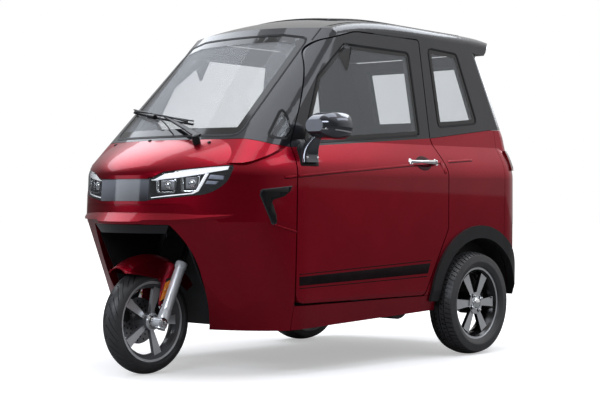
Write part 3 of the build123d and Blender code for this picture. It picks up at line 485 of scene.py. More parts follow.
def turned(mesh, profile, centre, axis="X", steps=48, side=1):
    """A profile of (along, radius) points turned about an axis; points at radius 0 close it."""
    along, out = TURNING[axis]
    centre = Vector(centre)
    verts = [mesh.verts.new(centre + along * side * place + out * radius) for place, radius in profile]
    spun(mesh, verts, centre, along, steps)
    bmesh.ops.remove_doubles(mesh, verts=mesh.verts, dist=MERGED / 10)


def face_of(mesh, points):
    """One flat face over points in space."""
    return mesh.faces.new([mesh.verts.new(point) for point in points])


def thickened(mesh, faces, move):
    """Faces given a thickness, and the top faces."""
    top = bmesh.ops.extrude_face_region(mesh, geom=faces, use_keep_orig=True)["geom"]
    bmesh.ops.translate(mesh, vec=move, verts=[part for part in top if isinstance(part, bmesh.types.BMVert)])
    bmesh.ops.recalc_face_normals(mesh, faces=mesh.faces)
    return [part for part in top if isinstance(part, bmesh.types.BMFace)]


def skin_of(*names):
    """The faces of some CAD nodes, for laying pieces on."""
    joined = bmesh.new()
    for name in names:
        joined.from_mesh(nodes[name].data)
    tree = BVHTree.FromBMesh(joined)
    joined.free()
    return tree


LOOKS = {
    # A way of looking at the car: the eye's direction, and where a drawn point starts from.
    "left": (Vector((-1, 0, 0)), lambda a, b: Vector((1.2, a, b))),
    "right": (Vector((1, 0, 0)), lambda a, b: Vector((-1.2, a, b))),
    "front": (Vector((0, 1, 0)), lambda a, b: Vector((a, -1.6, b))),
    "back": (Vector((0, -1, 0)), lambda a, b: Vector((a, 1.6, b))),
    "top": (Vector((0, 0, -1)), lambda a, b: Vector((a, b, 2.2))),
}
SHARP_RIM = 0.9  # radians between a laid piece's top and its side


def laid(mesh, outline, look, tree, rise=0.002, sink=0.001, step=0.035, round_off=0.0005):
    """An outline, or several that join, drawn from one side, dropped onto a surface and thickened."""
    way, place = LOOKS[look]
    shapes = outline if isinstance(outline[0], list) else [outline]
    sheet = bmesh.new()
    for shape in shapes:
        face_of(sheet, [place(*point) for point in shape])
    bmesh.ops.remove_doubles(sheet, verts=sheet.verts, dist=MERGED)
    sideways = Vector((0, 1, 0)) if look in ("left", "right") else Vector((1, 0, 0))
    upwards = Vector((0, 1, 0)) if look == "top" else Vector((0, 0, 1))
    for line in (sideways, upwards):
        reach = [place(*point).dot(line) for shape in shapes for point in shape]
        cut = math.floor(min(reach) / step) * step + step
        while cut < max(reach):
            parts = sheet.verts[:] + sheet.edges[:] + sheet.faces[:]
            bmesh.ops.bisect_plane(sheet, geom=parts, dist=MERGED, plane_co=line * cut, plane_no=line)
            cut += step
    for vert in sheet.verts:
        found, _, _, _ = tree.ray_cast(vert.co, way)
        if found is None:
            found, _, _, _ = tree.find_nearest(vert.co)
        vert.co = found + way * sink
    top = thickened(sheet, sheet.faces[:], -way * (rise + sink))
    if round_off:
        rim = {edge for face in top for edge in face.edges if edge.is_manifold}
        soften(sheet, [edge for edge in rim if edge.calc_face_angle(0) > SHARP_RIM], round_off)
    join(mesh, sheet)


def overlay(name, body, material, look, tree, *outlines, **how):
    """A piece of outlines laid on a surface."""
    mesh = bmesh.new()
    for outline in outlines:
        laid(mesh, outline, look, tree, **how)
    return finished(name, mesh, body, material)


def join(mesh, other):
    """Everything in one bmesh moved into another."""
    data = bpy.data.meshes.new("joined")
    other.to_mesh(data)
    other.free()
    mesh.from_mesh(data)
    bpy.data.meshes.remove(data)


def rod(name, points, radius, body, material):
    """A round bar along points, bending smoothly past those between its ends."""
    curve = bpy.data.curves.new(name, "CURVE")
    curve.dimensions = "3D"
    curve.bevel_depth = radius
    curve.bevel_resolution = 4
    curve.use_fill_caps = True
    line = curve.splines.new("NURBS" if len(points) > 2 else "POLY")
    line.points.add(len(points) - 1)
    for knot, point in zip(line.points, points):
        knot.co = (*point, 1)
    if line.type == "NURBS":
        line.order_u = 3
        line.use_endpoint_u = True
    holder = bpy.data.objects.new(name + "_line", curve)
    shape = bpy.data.meshes.new_from_object(holder)
    mesh = bmesh.new()
    mesh.from_mesh(shape)
    bpy.data.objects.remove(holder)
    bpy.data.meshes.remove(shape)
    return finished(name, mesh, body, material)


def hex_bolt(mesh, place, axis, radius, height):
    """A hexagon head standing along an axis."""
    turn = Vector(axis).to_track_quat("Z", "Y").to_matrix().to_4x4()
    spot = Matrix.Translation(Vector(place)) @ turn @ Matrix.Translation((0, 0, height / 2))
    bmesh.ops.create_cone(
        mesh, cap_ends=True, segments=6, radius1=radius, radius2=radius * 0.92, depth=height, matrix=spot
    )


def ring_spots(centre, radius, count, shift=0.0):
    """Places round a wheel's axle, a count of them evenly spaced from a share of their spacing."""
    x, y, z = centre
    turns = [(number + shift) / count * math.tau for number in range(count)]
    return [(x, y + radius * math.cos(turn), z + radius * math.sin(turn)) for turn in turns]


def both_sides(make):
    """Makes the pieces of the left side and then those of the right."""
    make(1, "left")
    make(-1, "right")


# ---- Trim on the body ---------------------------------------------------------------------------
STRIPE_TOP = [(-0.570, 0.434), (0.347, 0.465)]
STRIPE_FOOT = [(-0.568, 0.371), (0.314, 0.387)]
# Bands of the door stripe, as shares of its height from the top.
STRIPE_BANDS = [(0.0, 0.055), (0.19, 0.80), (0.945, 1.0)]
FLANK_BADGE = [
    (-0.757, 0.783), (-0.752, 0.789), (-0.622, 0.803), (-0.632, 0.782), (-0.658, 0.762), (-0.708, 0.748),
    (-0.714, 0.738), (-0.695, 0.684), (-0.692, 0.655), (-0.700, 0.646), (-0.712, 0.650), (-0.760, 0.765),
]
BADGE_MIDDLE = (-0.705, 0.742)
BADGE_RIM = 1.045  # the rim's size as a share of the badge's
# Raised creases on each flank, drawn as (y, z) from front to back.
UPPER_CREASE = [(-0.655, 0.8415), (-0.30, 0.870), (0.10, 0.900), (0.45, 0.925), (0.700, 0.941)]
LOWER_CREASE = [(-0.702, 0.643), (-0.592, 0.612)]
# Each crease's width; the width and drop of the painted shade line under it.
CREASE_WIDE, SHADE_WIDE = 0.008, 0.0035
SHADE_BELOW = 0.0065
# Where the upper crease runs on the front shell, the door and the rear quarter.
ON_FRONT, ON_DOOR, ON_QUARTER = (-0.655, -0.594), (-0.582, 0.455), (0.490, 0.690)


def between(first, second, share):
    """A point on the way from one to another."""
    return tuple(a + (b - a) * share for a, b in zip(first, second))


def ribbon(points, width, start=None, end=None):
    """A thin outline along a drawn line, kept between two places along the car."""
    line = [point for point in points if start is None or start < point[0] < end]
    for limit, first in ((start, True), (end, False)):
        for low, high in zip(points, points[1:]):
            if limit is not None and low[0] <= limit <= high[0]:
                spot = between(low, high, (limit - low[0]) / (high[0] - low[0]))
                line.insert(0 if first else len(line), spot)
    return [(y, z + width / 2) for y, z in line] + [(y, z - width / 2) for y, z in reversed(line)]


def flank_trim(side, look):
    """The stripe, the badge plate and the creases on one flank, with a line of painted shade under each
    crease.
    """
    body = look + "_door"
    door, front, quarters = skin_of(body), skin_of("front_shell"), skin_of("rear_quarters")
    bands = []
    for top, foot in STRIPE_BANDS:
        upper = [between(a, b, top) for a, b in zip(STRIPE_TOP, STRIPE_FOOT)]
        lower = [between(a, b, foot) for a, b in zip(STRIPE_TOP, STRIPE_FOOT)]
        bands.append(upper + lower[::-1])
    overlay(body + "_stripe", body, stripe_film, look, door, *bands, rise=0.0006, round_off=0.0002)

    raised = {"rise": 0.0030, "sink": 0.002, "round_off": 0.0016}
    drawn = {"rise": 0.0004, "sink": 0.001, "round_off": 0}
    # Painted shade: a dark ribbon just under each crease.
    shade = [(y, z - SHADE_BELOW) for y, z in UPPER_CREASE]
    crease = ribbon(UPPER_CREASE, CREASE_WIDE, *ON_DOOR)
    overlay(body + "_crease", body, red_paint, look, door, crease, **raised)
    overlay(body + "_crease_shade", body, painted_shade_red, look, door, ribbon(shade, SHADE_WIDE, *ON_DOOR), **drawn)

    badge = {"step": 0.02, "rise": 0.006, "round_off": 0.0016}
    overlay(look + "_flank_badge", "body", gloss_black, look, front, FLANK_BADGE, **badge)
    rim = [between(BADGE_MIDDLE, point, BADGE_RIM) for point in FLANK_BADGE]
    badge = {"step": 0.02, "rise": 0.0035, "round_off": 0.0010}
    overlay(look + "_flank_badge_rim", "body", black_chrome, look, front, rim, **badge)

    mesh = bmesh.new()
    laid(mesh, ribbon(UPPER_CREASE, CREASE_WIDE, *ON_FRONT), look, front, **raised)
    laid(mesh, ribbon(LOWER_CREASE, 0.007), look, front, rise=0.0045, sink=0.002, round_off=0.0018)
    laid(mesh, ribbon(UPPER_CREASE, CREASE_WIDE, *ON_QUARTER), look, quarters, **raised)
    finished(look + "_flank_creases", mesh, "body", red_paint)
    mesh = bmesh.new()
    laid(mesh, ribbon(shade, SHADE_WIDE, *ON_FRONT), look, front, **drawn)
    laid(mesh, ribbon(shade, SHADE_WIDE, *ON_QUARTER), look, quarters, **drawn)
    finished(look + "_flank_crease_shades", mesh, "body", painted_shade_red)


# ---- Lamps --------------------------------------------------------------------------------------
UPPER_STRIP = [
    # Across the car, height, and how deep the wedge hangs from there.
    (0.157, 0.8365, 0.008), (0.175, 0.8395, 0.012), (0.205, 0.8545, 0.023), (0.237, 0.8630, 0.028),
    (0.269, 0.8670, 0.029), (0.332, 0.8755, 0.027), (0.389, 0.8825, 0.021), (0.432, 0.8870, 0.015),
]
# The light guide runs along the foot of the lamp and then up its outer end.
GUIDE_FOOT = [(0.158, 0.754), (0.233, 0.763), (0.320, 0.772)]
GUIDE_END = [(0.340, 0.782), (0.352, 0.808), (0.372, 0.856)]
PROJECTORS = [(0.181, 0.263, 0.775, 0.833), (0.281, 0.348, 0.779, 0.845)]
PROJECTOR_LENS = [(0.0, 0.0), (0.002, 0.009), (0.007, 0.016), (0.012, 0.019), (0.020, 0.020), (0.020, 0.0)]
PALE_BARS = [
    [(0.383, 0.851), (0.424, 0.846), (0.421, 0.830), (0.377, 0.834)],
    [(0.374, 0.826), (0.408, 0.823), (0.400, 0.811), (0.368, 0.813)],
]


def cup_outline(left, right, low, high):
    """The U-shaped bright frame round a projector."""
    half = [(0.0, high), (0.006, high), (0.010, low + 0.010), (0.016, low + 0.006)]
    under = [(0.010, low), (0.003, low + 0.006)]
    inner = [(left + x, z) for x, z in half] + [(right - x, z) for x, z in reversed(half)]
    return inner + [(right - x, z) for x, z in reversed(under)] + [(left + x, z) for x, z in under]


def lamp_insides(side, look):
    """Projectors, light guide and bright strips behind one headlamp lens."""
    name = look + "_headlamp_"
    lens = skin_of("headlamp_lenses")

    def behind(outline, depth, thick, material, title):
        flipped = [(x * side, z) for x, z in outline]
        how = {"rise": thick - depth, "sink": depth, "step": 0.02, "round_off": 0.0008}
        overlay(name + title, "body", material, "front", lens, flipped, **how)

    wedge = [(x, z) for x, z, _ in UPPER_STRIP] + [(x, z - deep) for x, z, deep in reversed(UPPER_STRIP)]
    behind(wedge, 0.012, 0.004, lit_white, "upper_strip")
    guide = [(x, z + 0.003) for x, z in GUIDE_FOOT] + [(x - 0.004, z) for x, z in GUIDE_END]
    guide += [(x + 0.005, z) for x, z in reversed(GUIDE_END)]
    guide += [(x, z - 0.004) for x, z in reversed(GUIDE_FOOT)]
    behind(guide, 0.014, 0.005, lit_white, "light_guide")
    for number, bar in enumerate(PALE_BARS):
        behind(bar, 0.014, 0.004, pale_bar, "bar_%d" % number)
    for number, (left, right, low, high) in enumerate(PROJECTORS):
        behind(cup_outline(left, right, low, high), 0.016, 0.006, chrome, "cup_%d" % number)
        inner = [(left + 0.012, high - 0.004), (right - 0.012, high - 0.004)]
        inner += [(right - 0.014, low + 0.014), (left + 0.014, low + 0.014)]
        behind(inner, 0.024, 0.004, steel, "reflector_%d" % number)
        x, z = (left + right) / 2 * side, (low + high) / 2 + 0.004
        found, _, _, _ = lens.ray_cast(Vector((x, -1.6, z)), Vector((0, 1, 0)))
        mesh = bmesh.new()
        turned(mesh, PROJECTOR_LENS, (x, found.y + 0.010, z), axis="Y", steps=32)
        finished(name + "projector_%d" % number, mesh, "body", chrome)


# ---- Tyres and wheels ---------------------------------------------------------------------------
FRONT_AXLE = (0.0, -0.925, 0.226)
REAR_AXLE = 0.675
REAR_RADIUS = 0.247
REAR_TRACK_HALF = 0.5475
BEAD = 0.173
# The side wall above the bead: shares of the tyre's half width, and of the height from bead to shoulder.
WALL = [(0.955, 0.25), (0.985, 0.36), (0.998, 0.40), (0.998, 0.50), (0.988, 0.54), (0.982, 0.75)]
FRONT_COLUMNS = [0.0475, 0.046, 0.041, 0.036, 0.031, 0.026, 0.022, 0.017, 0.012, 0.008, 0.005, 0.0]
REAR_COLUMNS = [0.0634, 0.058, 0.050, 0.041, 0.032, 0.027, 0.019, 0.011, 0.003]
FRONT_BEAT = 14
# Turned profiles, as (along, radius) points.
HUB_END = [
    (0.040, 0.0), (0.040, 0.030), (0.044, 0.031), (0.046, 0.026), (0.052, 0.024), (0.056, 0.018), (0.056, 0.0)
]
FRONT_LIP = [
    (0.0355, 0.1685), (0.0372, 0.1705), (0.0372, 0.1725), (0.0355, 0.1745), (0.034, 0.1715), (0.0355, 0.1685)
]
REAR_LIP = [
    (0.0480, 0.1690), (0.0494, 0.1705), (0.0494, 0.1722), (0.0478, 0.1738), (0.0465, 0.1715), (0.0480, 0.1690)
]
REAR_CAP = [
    (0.042, 0.0), (0.042, 0.027), (0.045, 0.0275), (0.050, 0.026), (0.055, 0.021), (0.0585, 0.012),
    (0.0595, 0.0),
]
NUT_POCKET = [(0.0, 0.0), (0.0, 0.0105), (0.0015, 0.0105), (0.0015, 0.0085), (0.0004, 0.0085), (0.0004, 0.0)]
NUT_TIP = [(0.010, 0.0), (0.010, 0.0068), (0.0135, 0.006), (0.0155, 0.003), (0.016, 0.0)]


def crown_at(place, radius, half, drop):
    """Radius of a crowned tread at a place across it."""
    bend = (half * half + drop * drop) / (2 * drop)
    return radius - bend + math.sqrt(bend * bend - place * place)


def treaded_tyre(
    name, body, replaced, centre, radius, width, drop, share, columns, steps, grooved, sweep, depth
):
    """A tyre with its tread cut into it: columns across it, steps round it, and a rule for what is cut."""
    half = width / 2
    edge = half * share
    shoulder = radius - drop
    wall = [(half * 0.74, BEAD), (half * 0.86, BEAD + 0.004)]
    wall += [(half * wide, BEAD + (shoulder - BEAD) * high) for wide, high in WALL]
    outer_half = wall + [(place, crown_at(place, radius, edge, drop)) for place in columns]
    inner_half = [(-place, high) for place, high in reversed(outer_half)]
    if columns[-1] == 0.0:
        inner_half = inner_half[1:]
    mesh = bmesh.new()
    turned(mesh, outer_half + inner_half + [outer_half[0]], centre, steps=steps)
    bmesh.ops.recalc_face_normals(mesh, faces=mesh.faces)
    middle = Vector(centre)
    cut = []
    for face in mesh.faces:
        spot = face.calc_center_median() - middle
        if abs(spot.x) < edge and math.hypot(spot.y, spot.z) > shoulder - 0.001:
            turn = math.atan2(spot.z, spot.y) % math.tau
            if grooved(spot.x, int(turn / math.tau * steps)):
                cut.append(face)
    walls = bmesh.ops.extrude_face_region(mesh, geom=cut)["geom"]
    for part in walls:
        if isinstance(part, bmesh.types.BMVert):
            out = Vector((0, part.co.y - middle.y, part.co.z - middle.z))
            part.co -= out.normalized() * depth
    bmesh.ops.delete(mesh, geom=[face for face in cut if face.is_valid], context="FACES_ONLY")
    for vert in mesh.verts:
        place = vert.co - middle
        vert.co = middle + Matrix.Rotation(sweep * min(1.0, abs(place.x) / edge) ** 1.5, 3, "X") @ place
    tyre = finished(name, mesh, body, rubber, bend=30)
    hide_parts(replaced)


def front_groove(place, step):
    """Long swept grooves from near the middle to the shoulder, set alternately left and right."""
    half_beat = FRONT_BEAT // 2
    beat = (step + (half_beat if place < 0 else 0)) % FRONT_BEAT
    across = abs(place)
    return (beat == 0 and across < 0.041) or (beat == half_beat and 0.012 < across < 0.046)


def rear_groove(place, step):
    """Three grooves round the tyre, slots across its shoulders and sipes in its ribs."""
    across = abs(place)
    if across < 0.003 or 0.027 < across < 0.032:
        return True
    if across > 0.032:
        return step % 4 == 0
    return step % 4 == 2 and across > 0.011


def dress_front_wheel():
    """Tread, hub, the drilled disc's holes as dark plugs of painted shade, and valve of the front wheel."""
    body = "front_wheel"
    treaded_tyre(
        "front_tread_tyre", body, "front_tyre", FRONT_AXLE, 0.226, 0.100, 0.027, 0.95,
        FRONT_COLUMNS, 224, front_groove, 0.42, 0.004,
    )
    _, y, z = FRONT_AXLE
    hub, lips = bmesh.new(), bmesh.new()
    for side in (1, -1):
        turned(hub, HUB_END, FRONT_AXLE, side=side)
        turned(lips, FRONT_LIP, FRONT_AXLE, side=side, steps=96)
    finished("front_hub_ends", hub, body, chrome)
    finished("front_rim_lips", lips, body, cast_silver)
    # Dark plugs in the disc stand in for its drilled holes: painted shade.
    mesh = bmesh.new()
    across = Matrix.Rotation(math.pi / 2, 4, "Y")
    for ring, shift in ((0.056, 0.0), (0.070, 0.5), (0.085, 1.0)):
        for spot in ring_spots((-0.050, y, z), ring, 15, shift):
            bmesh.ops.create_cone(
                mesh, cap_ends=True, segments=12, radius1=0.0042, radius2=0.0042, depth=0.0046,
                matrix=Matrix.Translation(spot) @ across,
            )
    finished("brake_disc_hole_shades", mesh, body, satin_black)
    mesh = bmesh.new()
    for spot in ring_spots((-0.0522, y, z), 0.026, 5, 0.5):
        hex_bolt(mesh, spot, (-1, 0, 0), 0.006, 0.004)
    finished("brake_disc_bolts", mesh, body, steel)
    valve = [(0.020, y - 0.050, z + 0.130), (0.026, y - 0.047, z + 0.118)]
    rod("front_tyre_valve", valve, 0.0035, body, brass)


def dress_rear_wheel(side, look):
    """Tread, cap, nuts and valve of one rear wheel."""
    body = "rear_" + look + "_wheel"
    centre = (side * REAR_TRACK_HALF, REAR_AXLE, REAR_RADIUS)
    treaded_tyre(
        "rear_" + look + "_tread_tyre", body, "rear_" + look + "_tyre", centre, REAR_RADIUS, 0.135, 0.014,
        0.94, REAR_COLUMNS, 256, rear_groove, 0.07, 0.006,
    )
    x, y, z = centre
    cap, pockets, nuts, lip = bmesh.new(), bmesh.new(), bmesh.new(), bmesh.new()
    turned(cap, REAR_CAP, centre, side=side)
    for spot in ring_spots((x + side * 0.042, y, z), 0.0405, 4, 0.35):
        turned(pockets, NUT_POCKET, spot, side=side, steps=24)
        hex_bolt(nuts, spot, (side, 0, 0), 0.0072, 0.012)
        turned(nuts, NUT_TIP, spot, side=side, steps=16)
    turned(lip, REAR_LIP, centre, side=side, steps=96)
    finished(body + "_cap", cap, body, chrome)
    finished(body + "_nut_pockets", pockets, body, satin_black)
    finished(body + "_nuts", nuts, body, chrome, bend=25)
    finished(body + "_lip", lip, body, cast_silver)
    valve = [(x + side * 0.030, y + 0.135, z + 0.020), (x + side * 0.044, y + 0.128, z + 0.019)]
    rod(body + "_valve", valve, 0.0032, body, satin_black)


# ---- Fork and mudguard --------------------------------------------------------------------------
RAKE = math.radians(25)
STEER_BASE = Vector((0.0, -0.865, 0.226))
STEER_UP = Vector((0.0, math.sin(RAKE), math.cos(RAKE)))
STEER_BACK = Vector((0.0, math.cos(RAKE), -math.sin(RAKE)))
LEG_HALF = 0.083
LEG_BACK = -0.0404
# Rings round each leg of the fork, as (along, radius) points.
COLLARS = [
    [(0.228, 0.0232), (0.230, 0.0262), (0.252, 0.0268), (0.256, 0.0245), (0.256, 0.0170)],
    [(-0.040, 0.0232), (-0.036, 0.0256), (0.030, 0.0256), (0.036, 0.0232)],
]
DUST_SEAL = [(0.256, 0.0225), (0.262, 0.0225), (0.266, 0.0190), (0.266, 0.0168)]
YOKE_CAP = [(0.426, 0.0), (0.426, 0.028), (0.434, 0.026), (0.434, 0.0)]
AXLE_WASHER = [(0.106, 0.0), (0.106, 0.020), (0.110, 0.020), (0.112, 0.018), (0.112, 0.0)]
AXLE_TIP = [(0.120, 0.0), (0.120, 0.008), (0.126, 0.0075), (0.128, 0.0)]
REFLECTORS = [((-0.855, 0.397), (-0.8725, 0.358)), ((-0.8735, 0.356), (-0.889, 0.320))]
REFLECTOR_PLATE = [(-0.861, 0.410), (-0.829, 0.410), (-0.862, 0.312), (-0.897, 0.312)]
GUARD_BOLTS = [(-0.893, 0.296), (-0.906, 0.288), (-0.824, 0.418)]
GUARD_EDGE = [(-1.089, 0.4385), (-1.023, 0.4315), (-0.917, 0.4105), (-0.900, 0.398)]


def by_steering(across, back, up):
    """A point given across the fork, behind the steering axis and along it."""
    return STEER_BASE + Vector((across, 0, 0)) + STEER_BACK * back + STEER_UP * up


def about_steering(mesh, profile, across, back):
    """A closed ring of (along, radius) points turned about a line beside the steering axis."""
    verts = [mesh.verts.new(by_steering(across + radius, back, up)) for up, radius in profile]
    spun(mesh, verts, by_steering(across, back, 0), STEER_UP, 40, closed=True)


def dress_mudguard(side, look):
    """Reflectors, bolts and the rolled edge on one side of the mudguard."""
    guard = skin_of("front_mudguard")
    spots = []
    for (y_top, z_top), (y_foot, z_foot) in REFLECTORS:
        spot = [(y_top - 0.013, z_top - 0.005), (y_top + 0.013, z_top + 0.005)]
        spots.append(spot + [(y_foot + 0.013, z_foot + 0.005), (y_foot - 0.013, z_foot - 0.005)])
    how = {"rise": 0.006, "step": 0.05, "round_off": 0.0012}
    overlay(look + "_fork_reflector", "fork", amber_lens, look, guard, *spots, **how)
    how = {"rise": 0.002, "step": 0.05, "round_off": 0.0006}
    overlay(look + "_reflector_plate", "fork", satin_black, look, guard, REFLECTOR_PLATE, **how)
    mesh = bmesh.new()
    for y, z in GUARD_BOLTS:
        hex_bolt(mesh, (side * 0.0590, y, z), (side, 0, 0), 0.0055, 0.0045)
    finished(look + "_mudguard_bolts", mesh, "fork", chrome, bend=25)
    edge = [(y, z + 0.013) for y, z in GUARD_EDGE] + GUARD_EDGE[::-1]
    how = {"rise": 0.0035, "step": 0.02, "round_off": 0.0016}
    overlay(look + "_mudguard_edge", "fork", red_paint, look, guard, edge, **how)


def dress_fork():
    """Collars and seals round the legs, axle nuts, the mudguard's parts and the yoke bolts."""
    collars, seals, nuts = bmesh.new(), bmesh.new(), bmesh.new()
    _, y, z = FRONT_AXLE
    for side in (1, -1):
        for collar in COLLARS:
            about_steering(collars, collar, side * LEG_HALF, LEG_BACK)
        about_steering(seals, DUST_SEAL, side * LEG_HALF, LEG_BACK)
        turned(nuts, AXLE_WASHER, FRONT_AXLE, side=side, steps=32)
        hex_bolt(nuts, (side * 0.112, y, z), (side, 0, 0), 0.0125, 0.009)
        turned(nuts, AXLE_TIP, FRONT_AXLE, side=side, steps=16)
    finished("fork_collars", collars, "fork", cast_silver)
    finished("fork_dust_seals", seals, "fork", soft_rubber)
    finished("axle_nuts", nuts, "fork", chrome, bend=25)
    both_sides(dress_mudguard)
    mesh = bmesh.new()
    for across in (-0.055, 0.055):
        hex_bolt(mesh, by_steering(across, LEG_BACK * 0.5, 0.426), STEER_UP, 0.008, 0.007)
    about_steering(mesh, YOKE_CAP, 0.0, 0.0)
    finished("yoke_bolts", mesh, "fork", steel, bend=25)


# ---- Handlebar ----------------------------------------------------------------------------------
BAR_HEIGHT = 0.828
BAR_HALF = [(0.06, 0.0, 0.0), (0.17, 0.016, 0.006), (0.262, 0.030, 0.004)]
# The brake lever: places along the grip, and how far in front of it and under it each lies.
LEVER = [(-0.020, -0.024, -0.004), (0.02, -0.040, -0.006), (0.07, -0.040, -0.008), (0.10, -0.030, -0.008)]
GRIP_RIBS = 8


def grip_profile():
    """A rubber grip with a flange at each end and ribs between."""
    grip = [(0.0, 0.0), (0.0, 0.021), (0.004, 0.022), (0.008, 0.0175)]
    for number in range(GRIP_RIBS):
        base = 0.012 + number * 0.011
        grip += [(base, 0.0172), (base + 0.002, 0.0162), (base + 0.004, 0.0172)]
    return grip + [(0.104, 0.0175), (0.106, 0.020), (0.110, 0.020), (0.112, 0.0)]


def dress_grip(side, look):
    """The grip, the switches and the brake lever at one end of the handlebar."""
    centre = by_steering(0, 0, BAR_HEIGHT)
    start, end = centre + Vector((side * 0.155, 0.014, 0.006)), centre + Vector((side * 0.270, 0.031, 0.004))
    way = (end - start).normalized()
    turn = way.to_track_quat("X", "Z").to_matrix().to_4x4()
    grip, pod = bmesh.new(), bmesh.new()
    turned(grip, grip_profile(), (0, 0, 0), steps=24)
    block(pod, (-0.018, -0.020, -0.018), (0.018, 0.018, 0.018), 0.006)
    for mesh, place in ((grip, start), (pod, start - way * 0.022)):
        bmesh.ops.transform(mesh, matrix=Matrix.Translation(place) @ turn, verts=mesh.verts)
    finished(look + "_grip", grip, "fork", soft_rubber)
    finished(look + "_switch_pod", pod, "fork", cabin_plastic)
    lever = [start + way * along + Vector((0, y, z)) for along, y, z in LEVER]
    rod(look + "_brake_lever", lever, 0.0045, "fork", steel)


def dress_handlebar():
    """A bent bar with its two ends dressed and a cover over its middle."""
    centre = by_steering(0, 0, BAR_HEIGHT)
    spots = [(-x, y, z) for x, y, z in reversed(BAR_HALF)] + BAR_HALF
    line = rod("handlebar_tube", [centre + Vector(spot) for spot in spots], 0.0105, "fork", frame_black)
    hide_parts("handlebar")
    both_sides(dress_grip)
    mesh = bmesh.new()
    block(mesh, (-0.075, -0.028, -0.014), (0.075, 0.020, 0.020), 0.008)
    bmesh.ops.translate(mesh, vec=centre + Vector((0, 0, 0.004)), verts=mesh.verts)
    finished("bar_cover", mesh, "fork", cabin_plastic)


# ---- Wiper --------------------------------------------------------------------------------------
PIVOT = [(-0.012, 0.0), (-0.012, 0.017), (0.016, 0.016), (0.026, 0.013), (0.029, 0.0)]
JET = [(-0.004, 0.0), (-0.004, 0.0085), (0.0035, 0.0075), (0.0055, 0.004), (0.006, 0.0)]
JETS = [(-0.345, -0.800), (-0.040, -0.868), (0.294, -0.836)]
WIPER_FOOT = (0.247, 0.985)
ARM_RING = [(1, -1), (1, 0.6), (0.5, 1), (-0.5, 1), (-1, 0.6), (-1, -1)]
ARM_HALF_THICK = 0.0045
# Each yoke: shares of the blade's length, and how far its ends stand off the glass.
YOKES = [(0.05, 0.46, 0.022, 0.036), (0.54, 0.95, 0.036, 0.024)]


def dress_windscreen():
    """Wiper arm, linkage and blade, with the washer jets on the hood."""
    glass = skin_of("windscreen", "cab_frame", "front_shell")

    def off_glass(x, z, gap):
        found, normal, _, _ = glass.ray_cast(Vector((x, -1.6, z)), Vector((0, 1, 0)))
        return found + normal * gap

    foot = off_glass(*WIPER_FOOT, 0.012)
    knee = off_glass(0.225, 0.999, 0.030)
    tip = off_glass(-0.050, 1.093, 0.030)
    mesh = bmesh.new()
    up = (off_glass(*WIPER_FOOT, 0.03) - off_glass(*WIPER_FOOT, 0.0)).normalized()
    turned(mesh, PIVOT, (0, 0, 0), steps=32)
    turn = up.to_track_quat("X", "Z").to_matrix().to_4x4()
    bmesh.ops.transform(mesh, matrix=Matrix.Translation(foot) @ turn, verts=mesh.verts)
    finished("wiper_pivot", mesh, "body", satin_black)
    mesh = bmesh.new()
    along = (tip - knee).normalized()
    across = along.cross(up).normalized()
    start = knee - along * 0.030
    stout = ((start, 0.014), (start + along * 0.10, 0.012))
    slim = ((start + along * 0.09, 0.010), (tip, 0.006))
    for bar in (stout, slim):
        caps = []
        for spot, wide in bar:
            ring = [spot + across * wide * a + up * ARM_HALF_THICK * b for a, b in ARM_RING]
            caps.append(face_of(mesh, ring))
        bmesh.ops.bridge_loops(mesh, edges=[edge for cap in caps for edge in cap.edges])
    finished("wiper_arm", mesh, "body", satin_black)

    left, right = off_glass(-0.40, 1.128, 0.018), off_glass(0.135, 1.050, 0.018)
    spots = [left.lerp(right, share) for share in (0, 0.25, 0.5, 0.75, 1.0)]
    blade = [off_glass(spot.x, spot.z, 0.012) for spot in spots]
    rod("wiper_blade", blade, 0.0048, "body", soft_rubber)
    spine = [off_glass(spot.x, spot.z, 0.021) for spot in blade]
    rod("wiper_spine", spine, 0.0035, "body", satin_black)
    for number, (first, last, low_gap, high_gap) in enumerate(YOKES):
        a, b = left.lerp(right, first), left.lerp(right, last)
        middle = a.lerp(b, 0.5)
        points = [(a, low_gap), (middle, 0.038), (b, high_gap)]
        points = [off_glass(spot.x, spot.z, gap) for spot, gap in points]
        rod("wiper_yoke_%d" % number, points, 0.0042, "body", satin_black)
    clip = [off_glass(-0.105, 1.086, 0.036), off_glass(-0.155, 1.093, 0.036)]
    rod("wiper_clip", clip, 0.011, "body", satin_black)
    spring = [off_glass(0.045, 1.030, 0.018), off_glass(-0.01, 1.062, 0.026), off_glass(-0.07, 1.080, 0.030)]
    rod("wiper_spring_rod", spring, 0.0028, "body", satin_black)

    hood = skin_of("front_shell")
    mesh = bmesh.new()
    for x, y in JETS:
        found, _, _, _ = hood.ray_cast(Vector((x, y, 2.0)), Vector((0, 0, -1)))
        turned(mesh, JET, found, axis="Z", steps=20)
    finished("washer_jets", mesh, "body", satin_black)


# ---- Glass edges --------------------------------------------------------------------------------
LEAST_BEND = 0.004
CORNER_PULL = 0.42  # how far a rounded corner is drawn towards its point


def rounded_loop(corners, inset, bend):
    """The loop inside an outline at an inset, its corners rounded."""
    loop = []
    for number, corner in enumerate(corners):
        here = Vector(corner)
        back = (Vector(corners[number - 1]) - here).normalized()
        ahead = (Vector(corners[(number + 1) % len(corners)]) - here).normalized()
        half = back.angle(ahead) / 2
        middle = here + (back + ahead).normalized() * inset / math.sin(half)
        reach = max(bend - inset, LEAST_BEND) / math.tan(half)
        first, last = middle + back * reach, middle + ahead * reach
        for share in (0.0, 0.25, 0.5, 0.75, 1.0):
            pull = 1 - (2 * share - 1) ** 2
            loop.append(tuple(first.lerp(last, share).lerp(middle, pull * CORNER_PULL)))
    return loop


def ring_faces(corners, outer, inner, bend):
    """Faces between two loops inside an outline, as lists of points."""
    wide, slim = rounded_loop(corners, outer, bend), rounded_loop(corners, inner, bend)
    after = [(number + 1) % len(wide) for number in range(len(wide))]
    return [[wide[here], wide[ahead], slim[ahead], slim[here]] for here, ahead in enumerate(after)]


